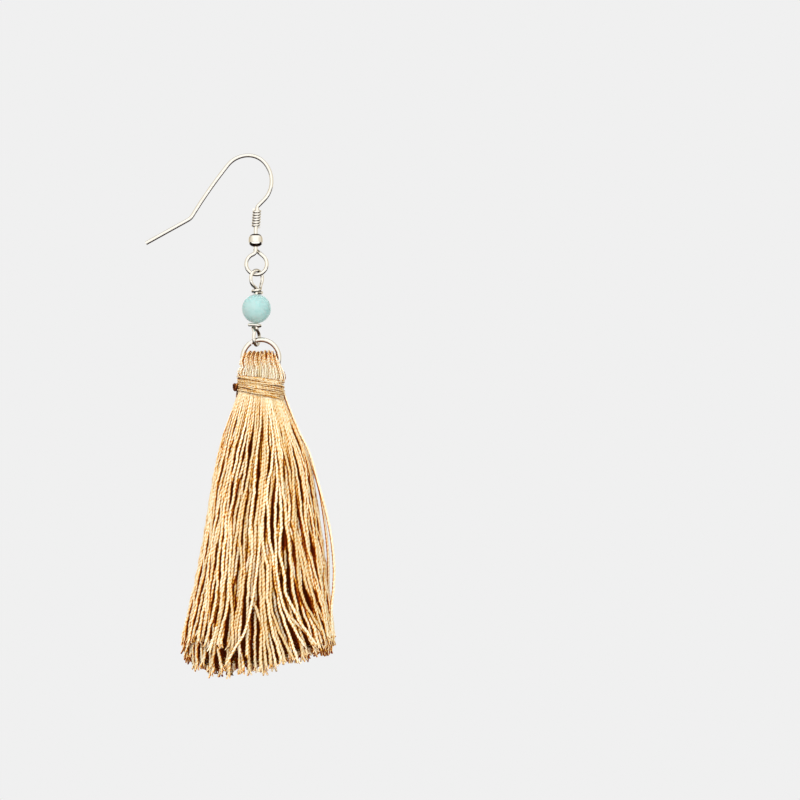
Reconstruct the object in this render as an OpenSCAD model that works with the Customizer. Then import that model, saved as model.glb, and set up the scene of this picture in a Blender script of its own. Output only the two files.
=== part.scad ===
// Tassel earring. A fish hook ear wire carries a coil and a ball on its stem. A wrapped wire link
// holds a round bead, and a split ring in its lower loop carries a tassel of thread that is folded
// over the ring and bound at the neck. It hangs as it is worn: Z is up, X runs to the right in the
// plane of the ear wire and of the ring, and Y runs to the back. The origin is the underside of the
// ear wire at the top of its arch, where it rests in the ear. All sizes are in millimetres.

/* [Ear wire] */
// Thickness of the ear wire
ear_wire_d = 0.8; // [0.7:0.01:0.86]
// Radius of the front of the arch, to the middle of the wire
arch_radius = 4.5; // [4:0.1:5.5]
// Radius of the back of the arch, to the middle of the wire
arch_back_radius = 5.5; // [4.5:0.1:6.5]
// Length of the long slope behind the arch
slope_length = 12.7; // [10:0.1:15]
// Length of the straight tail that ends in the cut tip
tail_length = 9.9; // [6:0.1:12]
// Radius of the bend between the slope and the tail
tail_bend_radius = 2.6; // [1.6:0.1:4]
// Radius of the closed loop at the foot, to the middle of the wire
hook_loop_radius = 2.13; // [2:0.01:2.4]

/* [Coil and ball] */
// Thickness of the coil's wire
coil_wire_d = 0.5; // [0.4:0.01:0.54]
// Height of one turn of the coil
coil_pitch = 0.56; // [0.56:0.01:0.7]
// Number of turns in the coil
coil_turns = 6.5; // [4:0.5:9]
// Diameter of the ball
ball_d = 3; // [2.4:0.1:4]
// Height of the ball between its drilled ends
ball_height = 2.7; // [2.2:0.1:2.9]
// Radius of the ball's rounded shoulders
ball_shoulder_radius = 1.15; // [0.8:0.05:1.2]
// Diameter of the hole through the ball
ball_bore_d = 1; // [0.96:0.01:1.2]

/* [Bead and link] */
// Diameter of the bead
bead_d = 6; // [4.5:0.1:8]
// Diameter of the hole through the bead
bead_bore_d = 1; // [0.86:0.01:1.4]
// Thickness of the link's wire
link_wire_d = 0.7; // [0.6:0.01:0.76]
// Radius of the link's upper loop, to the middle of the wire
upper_loop_radius = 1.75; // [1.6:0.01:2.1]
// Radius of the link's lower loop, to the middle of the wire
lower_loop_radius = 1.55; // [1.5:0.01:1.9]
// Angle of the upper loop's plane from the plane of the ear wire
upper_loop_turn = 49; // [40:1:90]
// Angle of the lower loop's plane from the plane of the ear wire
lower_loop_turn = 70; // [55:1:100]
// Length of the cut end that stands off the upper wrap
upper_end_length = 0.9; // [0.3:0.1:1.3]
// Length of the cut end that stands off the lower wrap
lower_end_length = 1.5; // [0.3:0.1:1.8]

/* [Ring] */
// Outer diameter of the ring
ring_d = 8.5; // [8:0.1:10]
// Thickness of the ring's wire
ring_wire_d = 1; // [0.8:0.01:1.1]
// Width of the split in the ring
ring_split = 0.2; // [0.1:0.05:0.5]

/* [Tassel] */
// Height of the folded threads above the ring's middle
head_rise = 1.65; // [0.8:0.05:1.75]
// Width of the folded threads inside the ring
head_width = 6.4; // [5:0.1:6.8]
// Depth of the head, front to back
head_depth = 7.2; // [6:0.1:9]
// Width of the bound neck
neck_width = 8.9; // [7.5:0.1:10]
// Depth of the bound neck
neck_depth = 6.8; // [6:0.1:8]
// Distance from the ring's middle down to the binding
neck_drop = 3.7; // [3.5:0.1:5]
// Length of the skirt below the binding
skirt_length = 59; // [40:0.5:80]
// Width of the skirt at its hem
skirt_width = 32.3; // [24:0.1:40]
// Depth of the skirt at its hem, front to back
skirt_depth = 20; // [14:0.5:30]
// Number of locks round the skirt
lock_count = 26; // [16:1:28]

/* [Neck binding] */
// Thickness of the binding thread
binding_thread_d = 0.32; // [0.24:0.01:0.33]
// Height of one turn of the binding
binding_pitch = 0.35; // [0.35:0.01:0.42]
// Number of turns in the binding
binding_turns = 8.5; // [6.5:1:10.5]
// Width of the knot
knot_d = 1.2; // [0.7:0.05:1.4]

/* [Clearances] */
// Gap between two links where one hangs in the other
hang_gap = 0.12; // [0.08:0.01:0.15]
// Gap between a wound wire and what it is wound on
wind_gap = 0.05; // [0.04:0.01:0.1]
// Gap between the threads and the metal ring inside them
ring_gap = 0.12; // [0.08:0.01:0.2]
// Gap between the neck and its binding
binding_gap = 0.1; // [0.06:0.01:0.15]

/* [Hidden] */
$fn = 64;

metal_colour = [0.78, 0.76, 0.72];
bead_colour = [0.70, 0.89, 0.85];
thread_colour = [0.89, 0.76, 0.53];
binding_colour = [0.82, 0.66, 0.45];

// Columns of a table of bent wire: straight run, radius and angle of the bend after it, and how far
// the plane of the bend is rolled about the wire before it is bent
RUN = 0;
RADIUS = 1;
TURN = 2;
ROLL = 3;

// The ear wire behind the top of its arch, down to the tail
slope_turn = 7;
slope_bend_radius = slope_length / (slope_turn * PI / 180);
back_rows = [
    [0, arch_back_radius, 51.5, 0],
    [0, slope_bend_radius, slope_turn, 0],
    [0, tail_bend_radius, -29.5, 0],
    [tail_length, 0, 0, 0]
];

// The ear wire in front of the top of its arch, down through the coil and the ball to the closed loop
neck_bend_radius = 0.8;
coil_height = coil_turns * coil_pitch + coil_wire_d;
coil_run = coil_height + 2 * wind_gap;
stem_bend_radius = 6;
ball_room_above = 0.65;
ball_room_below = 0.7;
ball_run = ball_room_above + ball_height + ball_room_below;
loop_entry_radius = 1;
loop_entry_turn = 68;
loop_front_turn = loop_entry_turn + 180;
loop_back_turn = 52;
loop_back_roll = -23;
loop_end_run = 1.16 * hook_loop_radius;
front_rows = [
    [0, arch_radius, 50, 0],
    [0, 1.29 * arch_radius, 40, 0],
    [0, 1.24 * arch_radius, 45, 0],
    [0.35 * arch_radius, neck_bend_radius, -41, 0],
    [coil_run, stem_bend_radius, -4, 0],
    [ball_run, loop_entry_radius, loop_entry_turn, 0],
    [0, hook_loop_radius, -loop_front_turn, 0],
    [0, hook_loop_radius, -loop_back_turn, loop_back_roll],
    [loop_end_run, 0, 0, 0]
];
COIL_ROW = 4;
BALL_ROW = 5;
LOOP_ROW = 6;

// Placement as four by four matrices
function shift(v) = [[1, 0, 0, v[0]], [0, 1, 0, v[1]], [0, 0, 1, v[2]], [0, 0, 0, 1]];
function turn_about_y(a) = [[cos(a), 0, sin(a), 0], [0, 1, 0, 0], [-sin(a), 0, cos(a), 0], [0, 0, 0, 1]];
function turn_about_z(a) = [[cos(a), -sin(a), 0, 0], [sin(a), cos(a), 0, 0], [0, 0, 1, 0], [0, 0, 0, 1]];
function point_of(frame) = [frame[0][3], frame[1][3], frame[2][3]];

// The end of a bend that starts at the origin along Z and curves towards X, or away for a negative turn
function bend_end(radius, turn) =
    shift([sign(turn) * radius * (1 - cos(turn)), 0, radius * sin(abs(turn))]) * turn_about_y(turn);
function row_end(row) =
    shift([0, 0, row[RUN]]) * turn_about_z(row[ROLL]) * bend_end(row[RADIUS], row[TURN]);
function row_frame(rows, start, n) = n == 0 ? start : row_frame(rows, start, n - 1) * row_end(rows[n - 1]);

// Both halves of the ear wire start at the top of the arch, with the bend towards the ground
arch_top = [0, 0, ear_wire_d / 2];
front_start = shift(arch_top) * turn_about_y(90);
back_start = shift(arch_top) * turn_about_z(180) * turn_about_y(90);
coil_frame = row_frame(front_rows, front_start, COIL_ROW);
ball_frame = row_frame(front_rows, front_start, BALL_ROW);
loop_frame = row_frame(front_rows, front_start, LOOP_ROW);

// Lowest point of the hook's loop, where the link hangs
loop_foot_turn = loop_front_turn - 90;
hook_loop_foot = point_of(loop_frame * bend_end(hook_loop_radius, -loop_foot_turn));

// Heights of the link, from the ear wire down
link_gap_to_wraps = 1.45;
upper_loop_height = link_gap_to_wraps + 2 * upper_loop_radius;
lower_loop_height = link_gap_to_wraps + 2 * lower_loop_radius;
link_top = hook_loop_foot + [0, 0, (ear_wire_d + link_wire_d) / 2 + hang_gap];
bead_centre = link_top - [0, 0, upper_loop_height + bead_d / 2];
link_foot = bead_centre - [0, 0, bead_d / 2 + lower_loop_height];

// The ring hangs in the lower loop, a little to one side of its own middle
ring_radius = (ring_d - ring_wire_d) / 2;
ring_lean = 19;
ring_hang = ring_radius - (ring_wire_d + link_wire_d) / 2 - hang_gap;
ring_centre = link_foot + ring_hang * [sin(ring_lean), 0, -cos(ring_lean)];
ring_split_angle = 124;

// Sweeping a section along a path
function unit(v) = v / norm(v);
function tangent(path, i) = unit(path[min(i + 1, len(path) - 1)] - path[max(i - 1, 0)]);
function across(n, t) = unit(n - (n * t) * t);
function normals(path, first) = [
    for (i = 0, n = across(first, tangent(path, 0)); i < len(path);
         i = i + 1, n = across(n, tangent(path, min(i, len(path) - 1)))) n
];

// A closed tube along a path. sizes holds each ring's half width along first and its half depth.
module tube(path, sizes, sides, first) {
    side_dirs = normals(path, first);
    last = len(path) - 1;
    points = [
        for (i = [0 : last])
            let (n = side_dirs[i], b = cross(tangent(path, i), n))
                for (k = [0 : sides - 1])
                    let (a = 360 * k / sides)
                        path[i] + sizes[i][0] * cos(a) * n + sizes[i][1] * sin(a) * b
    ];
    walls = [
        for (i = [0 : last - 1], k = [0 : sides - 1])
            let (a = i * sides + k, b = i * sides + (k + 1) % sides)
                each [[a, a + sides, b + sides], [a, b + sides, b]]
    ];
    near_cap = [for (k = [0 : sides - 1]) k];
    far_cap = [for (k = [sides - 1 : -1 : 0]) last * sides + k];
    polyhedron(points, concat(walls, [near_cap, far_cap]));
}

function round_sizes(path, d) = [for (p = path) [d / 2, d / 2]];

// A smooth curve between two points that leaves and arrives along given directions
function curve(p, p_dir, q, q_dir, reach, steps) =
    let (a = p + reach * p_dir, b = q - reach * q_dir) [
        for (i = [1 : steps - 1])
            let (t = i / steps, u = 1 - t)
                u * u * u * p + 3 * u * u * t * a + 3 * u * t * t * b + t * t * t * q
    ];

function moved(path, frame) = [for (p = path) point_of(frame * shift(p))];
function mirrored_down(path) = [for (p = path) [p[0], p[1], -p[2]]];
function reversed(path) = [for (i = [len(path) - 1 : -1 : 0]) path[i]];

// The ear wire: straight runs and bends laid end to end from a table
module bend(radius, turn, d) {
    if (turn != 0)
        rotate([0, 0, turn < 0 ? 180 : 0])
            translate([radius, 0, 0])
                rotate([90, 0, 180])
                    rotate_extrude(angle = abs(turn))
                        translate([radius, 0])
                            circle(d = d);
}

// Each run laps a hair into the bends beside it, and the bends are a hair thinner than the runs
run_lap = 0.02;
bend_relief = 0.004;
module bent_wire(rows, start, d) {
    last = len(rows) - 1;
    for (n = [0 : last])
        multmatrix(row_frame(rows, start, n)) {
            translate([0, 0, -run_lap])
                cylinder(d = d, h = run_lap + rows[n][RUN] + (n == last ? 0 : run_lap));
            translate([0, 0, rows[n][RUN]])
                rotate([0, 0, rows[n][ROLL]])
                    bend(rows[n][RADIUS], rows[n][TURN], d - bend_relief);
        }
}

module ear_hook() {
    color(metal_colour) {
        bent_wire(back_rows, back_start, ear_wire_d);
        bent_wire(front_rows, front_start, ear_wire_d);
    }
}

// The coil round the stem
coil_sides = 6;
coil_steps = 12;
function coil_path() =
    let (radius = (ear_wire_d + coil_wire_d) / 2 + wind_gap, steps = coil_turns * coil_steps) [
        for (i = [0 : steps])
            let (a = 360 * i / coil_steps)
                [radius * cos(a), radius * sin(a), coil_wire_d / 2 + wind_gap + coil_pitch * i / coil_steps]
    ];

module hook_coil() {
    path = coil_path();
    color(metal_colour)
        multmatrix(coil_frame)
            tube(path, round_sizes(path, coil_wire_d), coil_sides, [1, 0, 0]);
}

// The ball: a little wider than it is high, with full shoulders, and drilled along the stem
ball_least_flat = 0.1;
module hook_ball() {
    shoulder = min(ball_shoulder_radius, ball_height / 2 - ball_least_flat);
    shoulder_x = ball_d / 2 - shoulder;
    shoulder_z = ball_height / 2 - shoulder;
    color(metal_colour)
        multmatrix(ball_frame)
            translate([0, 0, ball_room_above + ball_height / 2])
                rotate_extrude()
                    intersection() {
                        union() {
                            for (z = [-shoulder_z, shoulder_z])
                                translate([shoulder_x, z])
                                    circle(r = shoulder);
                            translate([0, -shoulder_z])
                                square([ball_d / 2, 2 * shoulder_z]);
                        }
                        translate([ball_bore_d / 2, -ball_height])
                            square([ball_d, 2 * ball_height]);
                    }
}

// One end of the link, from the cut end of its wrap to the top of its stem. The stem is the Z axis,
// the bead's face is at zero and the loop stands in the XZ plane.
wrap_seat = 0.33;
wrap_turn = 270;
wrap_steps = 12;
loop_start = -35;
loop_end = 240;
loop_steps = 18;
function link_end(loop_radius, end_length) =
    let (
        wrap_radius = link_wire_d + wind_gap,
        wrap = [
            for (i = [0 : wrap_steps])
                let (a = wrap_turn * i / wrap_steps)
                    [wrap_radius * cos(a), wrap_radius * sin(a), wrap_seat + wrap_radius * a / 360]
        ],
        loop_z = link_gap_to_wraps + loop_radius,
        loop = [
            for (i = [0 : loop_steps])
                let (a = loop_start + (loop_end - loop_start) * i / loop_steps)
                    [loop_radius * cos(a), 0, loop_z + loop_radius * sin(a)]
        ],
        stem_top = [0, 0, link_gap_to_wraps - link_wire_d],
        start_dir = [-sin(loop_start), 0, cos(loop_start)],
        end_dir = [-sin(loop_end), 0, cos(loop_end)]
    )
    concat(
        [wrap[0] - [0, end_length, 0]],
        wrap,
        curve(wrap[wrap_steps], [1, 0, 0], loop[0], start_dir, 0.55, 5),
        loop,
        curve(loop[loop_steps], end_dir, stem_top, [0, 0, -1], 0.45, 5),
        [stem_top]
    );

link_sides = 8;
module bead_link() {
    upper = moved(
        link_end(upper_loop_radius, upper_end_length),
        shift(bead_centre + [0, 0, bead_d / 2]) * turn_about_z(upper_loop_turn)
    );
    lower = moved(
        mirrored_down(link_end(lower_loop_radius, lower_end_length)),
        shift(bead_centre - [0, 0, bead_d / 2]) * turn_about_z(lower_loop_turn + 180)
    );
    path = concat(upper, reversed(lower));
    color(metal_colour)
        tube(path, round_sizes(path, link_wire_d), link_sides, [0, 0, 1]);
}

module bead() {
    color(bead_colour)
        translate(bead_centre)
            difference() {
                sphere(d = bead_d);
                cylinder(d = bead_bore_d, h = 2 * bead_d, center = true);
            }
}

// The ring stands in the XZ plane and is split beside the link
module tassel_ring() {
    split_turn = ring_split / (ring_radius * PI / 180);
    color(metal_colour)
        translate(ring_centre)
            rotate([90, 0, 0])
                rotate([0, 0, ring_split_angle + split_turn / 2])
                    rotate_extrude(angle = 360 - split_turn)
                        translate([ring_radius, 0])
                            circle(d = ring_wire_d);
}

// Columns of the skirt's table: share of the skirt's length below the neck, then the reach to the
// left, to the right and to front and back, as shares of half the skirt's width and depth at the hem
skirt_table = [
    [0.00, 0.31, 0.30, 0.34],
    [0.13, 0.47, 0.48, 0.50],
    [0.24, 0.58, 0.68, 0.62],
    [0.35, 0.65, 0.81, 0.71],
    [0.50, 0.74, 0.94, 0.81],
    [0.65, 0.85, 0.95, 0.90],
    [0.80, 0.99, 0.95, 0.96],
    [0.90, 1.05, 0.97, 0.99],
    [1.00, 1.03, 0.95, 1.00]
];
LEFT = 1;
RIGHT = 2;
DEPTH = 3;

// Where the threads are cut: reach across as a share of half the width, and share of the length
hem_table = [[-1, 0.93], [-0.57, 1], [-0.15, 0.985], [0.35, 0.955], [0.76, 0.92], [1, 0.87]];
hem_unevenness = 0.012;

function table_value(table, share, column) = lookup(share, [for (row = table) [row[0], row[column]]]);
function reach_across(share, side) =
    table_value(skirt_table, share, side < 0 ? LEFT : RIGHT) * skirt_width / 2;
function reach_deep(share) = table_value(skirt_table, share, DEPTH) * skirt_depth / 2;

// The binding slopes down to the right, and the skirt starts just under it
binding_half_width = neck_width / 2 + binding_gap + binding_thread_d / 2;
binding_half_depth = neck_depth / 2 + binding_gap + binding_thread_d / 2;
binding_slope_top = 0.11;
binding_slope_foot = 0.2;
skirt_step = 0.25;
binding_height = binding_turns * binding_pitch;
skirt_top = -(neck_drop + binding_height + binding_thread_d / 2 + binding_gap + skirt_step);
function skirt_slope(a) = binding_slope_foot * (1 + cos(a)) * binding_half_width;

// The skirt's outline at an angle round it, drawn in by a depth under the surface
function skirt_point(share, a, under) = [
    (reach_across(share, cos(a)) - under) * cos(a),
    (reach_deep(share) - under) * sin(a),
    skirt_top - skirt_slope(a) * (1 - share) - share * skirt_length
];

// Each lock is a rounded flute from the neck to the hem with an end of its own. All of them make one
// closed form, with a point of each ring at every place across a lock.
lock_places = [0, 0.1, 0.3, 0.5, 0.7, 0.9];
lock_shares = [0, 0.06, 0.14, 0.24, 0.35, 0.47, 0.59, 0.71, 0.82, 0.91, 0.97, 1];
flute_depth_top = 0.35;
flute_depth_hem = 0.9;
lock_sway = 0.3;
sway_step = 222;
rim_depth = 1.95;
rim_share = 0.995;
rim_step = 0.3;
underside_share = 0.915;
underside_hollow = 0.08;

// How far the last rings of a lock are drawn in, which rounds its cut end
end_rounding = [[0.96, 0], [0.97, 0.1], [1, 0.4]];
lock_points = len(lock_places);
ring_points = lock_count * lock_points;

function lock_of(n) = floor(n / lock_points);
function place_of(n) = lock_places[n % lock_points];
function angle_of(n) = 360 * (lock_of(n) + place_of(n)) / lock_count;
function lobe(place) = 1 - sqrt(1 - pow(2 * place - 1, 2));
function hem_of(i) =
    let (a = 360 * (i + 0.5) / lock_count)
        lookup(cos(a), hem_table) + hem_unevenness * (sin(i * 137.5) - (1 - sin(a)) / 2);
function hem_at(n) =
    let (own = hem_of(lock_of(n)), beside = hem_of((lock_of(n) + lock_count - 1) % lock_count))
        place_of(n) == 0 ? min(own, beside) : own;
function flute_under(n, share) =
    let (
        depth = flute_depth_top + share * (flute_depth_hem - flute_depth_top),
        sway = lock_sway * (1 + sin(lock_of(n) * sway_step)) * share
    )
        depth * (lobe(place_of(n)) + (place_of(n) == 0 ? 0 : sway));
function flute_point(n, share, extra) =
    skirt_point(share * hem_at(n), angle_of(n), flute_under(n, share) + extra);

module skirt() {
    last = len(lock_shares) - 1;
    sides = [
        for (share = lock_shares, n = [0 : ring_points - 1])
            flute_point(n, share, lookup(share, end_rounding))
    ];
    rim = [for (n = [0 : ring_points - 1]) flute_point(n, rim_share, rim_depth - rim_step)];
    inside = [for (n = [0 : ring_points - 1]) skirt_point(underside_share, angle_of(n), rim_depth)];
    hollow = underside_share - underside_hollow;
    ends = [skirt_point(0, 90, reach_deep(0)), skirt_point(hollow, 90, reach_deep(hollow))];
    rings = last + 2;
    walls = [
        for (k = [0 : rings - 1], n = [0 : ring_points - 1])
            let (p = k * ring_points + n, q = k * ring_points + (n + 1) % ring_points)
                each [[p, q, q + ring_points], [p, q + ring_points, p + ring_points]]
    ];
    top = (rings + 1) * ring_points;
    near_cap = [for (n = [0 : ring_points - 1]) [top, (n + 1) % ring_points, n]];
    far_cap = [
        for (n = [0 : ring_points - 1])
            [top + 1, rings * ring_points + n, rings * ring_points + (n + 1) % ring_points]
    ];
    polyhedron(concat(sides, rim, inside, ends), concat(walls, near_cap, far_cap));
}

// Strips of threads inside the hem, in rings. Columns: number of strips in the ring, how far out it
// stands as a share of the skirt's reach, and half width of its strips
hem_rings = [[13, 0.70, 1.5], [8, 0.42, 1.6], [3, 0.14, 1.3]];
strip_sides = 9;
strip_top_share = 0.81;
strip_shift = 0.3;
module hem_strip(count, out, half, i) {
    a = 360 * (i + strip_shift) / count;
    foot_share = lookup(out * cos(a), hem_table) - hem_unevenness * (1.1 + sin(i * 97 + count * 40));
    top = skirt_point(strip_top_share, a, 0);
    foot = skirt_point(foot_share, a, 0);
    hull() {
        translate([out * top[0], out * top[1], top[2]])
            cylinder(r1 = 0.8 * half, r2 = 0.7 * half, h = 1, $fn = strip_sides);
        translate([out * foot[0], out * foot[1], foot[2]])
            rotate([0, 0, i * 50])
                cylinder(r1 = 0.85 * half, r2 = half, h = 0.5, $fn = strip_sides);
    }
}

// The threads folded over the ring. Columns: place where a fold crosses the ring and height of its
// crossing, as shares of the head's half width and rise, and place where it stands in front of the
// ring, as a share of the neck's half width
fold_table = [
    [-0.96, 0.50, -0.94],
    [-0.76, 0.86, -0.75],
    [-0.53, 0.97, -0.54],
    [-0.30, 0.88, -0.32],
    [-0.06, 0.84, -0.10],
    [0.18, 0.94, 0.12],
    [0.41, 1.00, 0.35],
    [0.64, 0.97, 0.58],
    [0.86, 0.80, 0.82],
    [0.98, 0.36, 1.06]
];
CROSSING = 0;
HEIGHT = 1;
FRONT = 2;
fold_places = [-0.5, -0.4, -0.2, 0, 0.2, 0.4];
fold_turns = [for (a = [0 : 15 : 180]) a];
fold_groove = 0.32;
fold_foot = 1.2;
fold_spring_share = 0.25;
fold_neck_spread = 1.12;
fold_neck_inset = 0.15;
fold_neck_lap = 0.3;
fold_neck_limit = 0.97;
fold_count = len(fold_table);

// A value of the table at a place counted in folds, carried on past the first and last of them
function fold_value(u, column) =
    let (
        last = fold_count - 1,
        before = min(u, 0) * (fold_table[1][column] - fold_table[0][column]),
        after = max(u - last, 0) * (fold_table[last][column] - fold_table[last - 1][column])
    )
        before + after + lookup(u, [for (i = [0 : last]) [i, fold_table[i][column]]]);

// The head's outline in a plane across it, from the neck in front, over the ring, to the neck behind
function fold_section(u) =
    let (
        groove = fold_groove * lobe(0.5 + u - round(u)),
        front_x = fold_value(u, FRONT) * neck_width / 2,
        crossing_x = fold_value(u, CROSSING) * head_width / 2,
        neck_reach = fold_value(u, FRONT) / fold_neck_spread,
        neck_place = max(-fold_neck_limit, min(fold_neck_limit, neck_reach)),
        neck_x = neck_place * (neck_width / 2 - fold_neck_inset),
        neck_y = sqrt(1 - pow(neck_place, 2)) * (neck_depth / 2 - fold_neck_inset),
        neck_fall = binding_slope_top * (1 + neck_place) * binding_half_width,
        neck_z = fold_neck_lap - neck_drop - neck_fall,
        reach = head_depth / 2 - 0.5 * pow(fold_value(u, FRONT), 2) - groove,
        spring_z = -fold_spring_share * head_depth,
        rise = head_rise * fold_value(u, HEIGHT) - groove - spring_z,
        side = [
            [neck_x, neck_y, neck_z - fold_foot],
            [neck_x, neck_y, neck_z],
            [front_x, reach, (spring_z + neck_z) / 2]
        ]
    )
    concat(
        [for (p = side) [p[0], -p[1], p[2]]],
        [
            for (a = fold_turns)
                let (x = crossing_x + (front_x - crossing_x) * abs(cos(a)))
                    [x, -reach * cos(a), spring_z + rise * sin(a)]
        ],
        reversed(side)
    );

module head() {
    stations = concat([for (i = [0 : fold_count - 1], f = fold_places) i + f], [fold_count - 0.5]);
    sections = [for (u = stations) fold_section(u)];
    across = len(sections) - 1;
    size = len(sections[0]);
    end_z = -0.2 * head_depth;
    ends = [for (k = [0, across]) [sections[k][2][0], 0, end_z]];
    first = len(stations) * size;
    walls = [
        for (k = [0 : across - 1], n = [0 : size - 1])
            let (p = k * size + n, q = k * size + (n + 1) % size)
                each [[p, q, q + size], [p, q + size, p + size]]
    ];
    left_cap = [for (n = [0 : size - 1]) [first, (n + 1) % size, n]];
    right_cap = [for (n = [0 : size - 1]) [first + 1, across * size + n, across * size + (n + 1) % size]];
    polyhedron(concat([for (k = sections) each k], ends), concat(walls, left_cap, right_cap));
}

// The bound neck, from the head down into the skirt
neck_sides = 32;
neck_into_skirt = 3;
module neck() {
    foot = skirt_top - neck_into_skirt;
    slice = 0.1;
    hull()
        for (z = [foot, -neck_drop - slice])
            translate([0, 0, z])
                scale([neck_width / 2, neck_depth / 2, 1])
                    cylinder(r = 1, h = slice, $fn = neck_sides);
}

// The way of the ring through the threads
tunnel_sides = 12;
tunnel_steps = 36;
module ring_tunnel() {
    rotate([90, 0, 0])
        rotate_extrude($fn = tunnel_steps)
            translate([ring_radius, 0])
                circle(r = (ring_wire_d / 2 + ring_gap) / cos(180 / tunnel_sides), $fn = tunnel_sides);
}

module tassel() {
    color(thread_colour)
        translate(ring_centre)
            difference() {
                union() {
                    head();
                    neck();
                    skirt();
                    for (ring = hem_rings, i = [0 : ring[0] - 1])
                        hem_strip(ring[0], ring[1], ring[2], i);
                }
                ring_tunnel();
            }
}

// The binding: one thread wound round the neck, lower on the right, with its knot on the left
binding_sides = 6;
binding_steps = 18;
function binding_path() =
    let (steps = binding_turns * binding_steps) [
        for (i = [0 : steps])
            let (
                a = 180 + 360 * i / binding_steps,
                slope = binding_slope_top + i / steps * (binding_slope_foot - binding_slope_top),
                fall = slope * (1 + cos(a)) * binding_half_width + binding_pitch * i / binding_steps
            )
                [binding_half_width * cos(a), binding_half_depth * sin(a), -neck_drop - fall]
    ];

knot_height_share = 0.74;
knot_sides = 10;
tail_sides = 8;
module neck_binding() {
    path = binding_path();
    knot_z = -neck_drop - knot_height_share * binding_height;
    knot_at = [-binding_half_width - binding_thread_d, -0.1 * neck_depth, knot_z];
    tail_at = knot_at - [0.45, 0.1, 0.5 * binding_height];
    color(binding_colour)
        translate(ring_centre) {
            tube(path, round_sizes(path, binding_thread_d), binding_sides, [0, 0, 1]);
            hull() {
                translate(knot_at + [0, 0, 0.25 * knot_d])
                    sphere(d = knot_d, $fn = knot_sides);
                translate(knot_at - [0, 0, 0.4 * knot_d])
                    sphere(d = 0.8 * knot_d, $fn = knot_sides);
            }
            hull() {
                translate(knot_at)
                    sphere(d = 0.8 * binding_thread_d, $fn = tail_sides);
                translate(tail_at)
                    sphere(d = 0.8 * binding_thread_d, $fn = tail_sides);
            }
        }
}

ear_hook();
hook_coil();
hook_ball();
bead_link();
bead();
tassel_ring();
tassel();
neck_binding();
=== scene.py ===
"""Tassel earring: the looks of the metal, the bead, the threads and the binding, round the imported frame."""

import math

import bmesh
import bpy
import numpy as np
from mathutils import Matrix, Vector


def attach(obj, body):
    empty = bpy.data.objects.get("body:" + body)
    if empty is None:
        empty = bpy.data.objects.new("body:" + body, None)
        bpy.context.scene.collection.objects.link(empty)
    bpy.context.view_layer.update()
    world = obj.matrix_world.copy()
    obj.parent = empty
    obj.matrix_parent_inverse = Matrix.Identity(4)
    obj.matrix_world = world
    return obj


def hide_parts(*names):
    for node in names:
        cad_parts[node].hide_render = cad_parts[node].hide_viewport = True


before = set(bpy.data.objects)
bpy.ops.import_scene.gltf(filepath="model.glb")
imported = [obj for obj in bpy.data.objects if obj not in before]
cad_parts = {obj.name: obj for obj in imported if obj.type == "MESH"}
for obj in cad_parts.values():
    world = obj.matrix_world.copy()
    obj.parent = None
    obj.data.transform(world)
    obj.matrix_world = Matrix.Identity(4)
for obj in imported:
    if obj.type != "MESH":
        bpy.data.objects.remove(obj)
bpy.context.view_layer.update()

bl_info = {
    "name": "Tassel Earring",
    "version": (1, 0, 0),
    "blender": (4, 5, 0),
    "location": "View3D > Sidebar > Earring",
    "description": "Builds the wire, bead, threads and binding of a tassel earring",
    "category": "Add Mesh",
}

MM = 0.001
SMOOTH_ANGLE = math.radians(55)

# Added to what is divided by, so that it is never nothing
SMALL, TINY = 1e-6, 1e-9

# Seeds of the random draws
SKIRT_SEED, SLIT_SEED, HEAD_SEED = 7, 3, 11

# Places and sizes in the frame, in millimetres
RING_CENTRE = np.array([2.59212, 0.0, -41.4969])
COIL_START = np.array([1.82491, 0.0, -10.5081])
COIL_LEAN = math.radians(184)
BEAD_CENTRE = np.array([1.68704, 0.0, -31.3184])
BEAD_HALF = 3
STEM_HALF = 0.4
WIRE_GAP = 0.05

# The neck and its binding, measured from the middle of the ring
NECK_HALF_WIDTH = 4.45
NECK_HALF_DEPTH = 3.4
NECK_DROP = 3.7
BINDING_HALF_WIDTH = 4.71
BINDING_HALF_DEPTH = 3.66
BINDING_HEIGHT = 2.975
BINDING_SLOPE_TOP = 0.11
BINDING_SLOPE_FOOT = 0.2

# The skirt's outline. Columns: share of its length, reach to the left, to the right, and to front and back
SKIRT_TOP = -7.185
SKIRT_LENGTH = 59.0
SKIRT_OUTLINE = np.array([
    [-0.10, 4.30, 4.25, 3.25],
    [0.00, 4.75, 4.90, 3.35],
    [0.13, 7.65, 8.45, 5.00],
    [0.24, 9.40, 10.80, 6.20],
    [0.35, 10.55, 11.70, 7.10],
    [0.50, 11.95, 13.00, 8.10],
    [0.65, 13.65, 14.10, 9.00],
    [0.80, 15.90, 15.25, 9.60],
    [0.90, 16.85, 15.55, 9.90],
    [1.00, 16.55, 15.30, 10.00],
    [1.06, 16.30, 15.20, 10.00],
])

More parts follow.
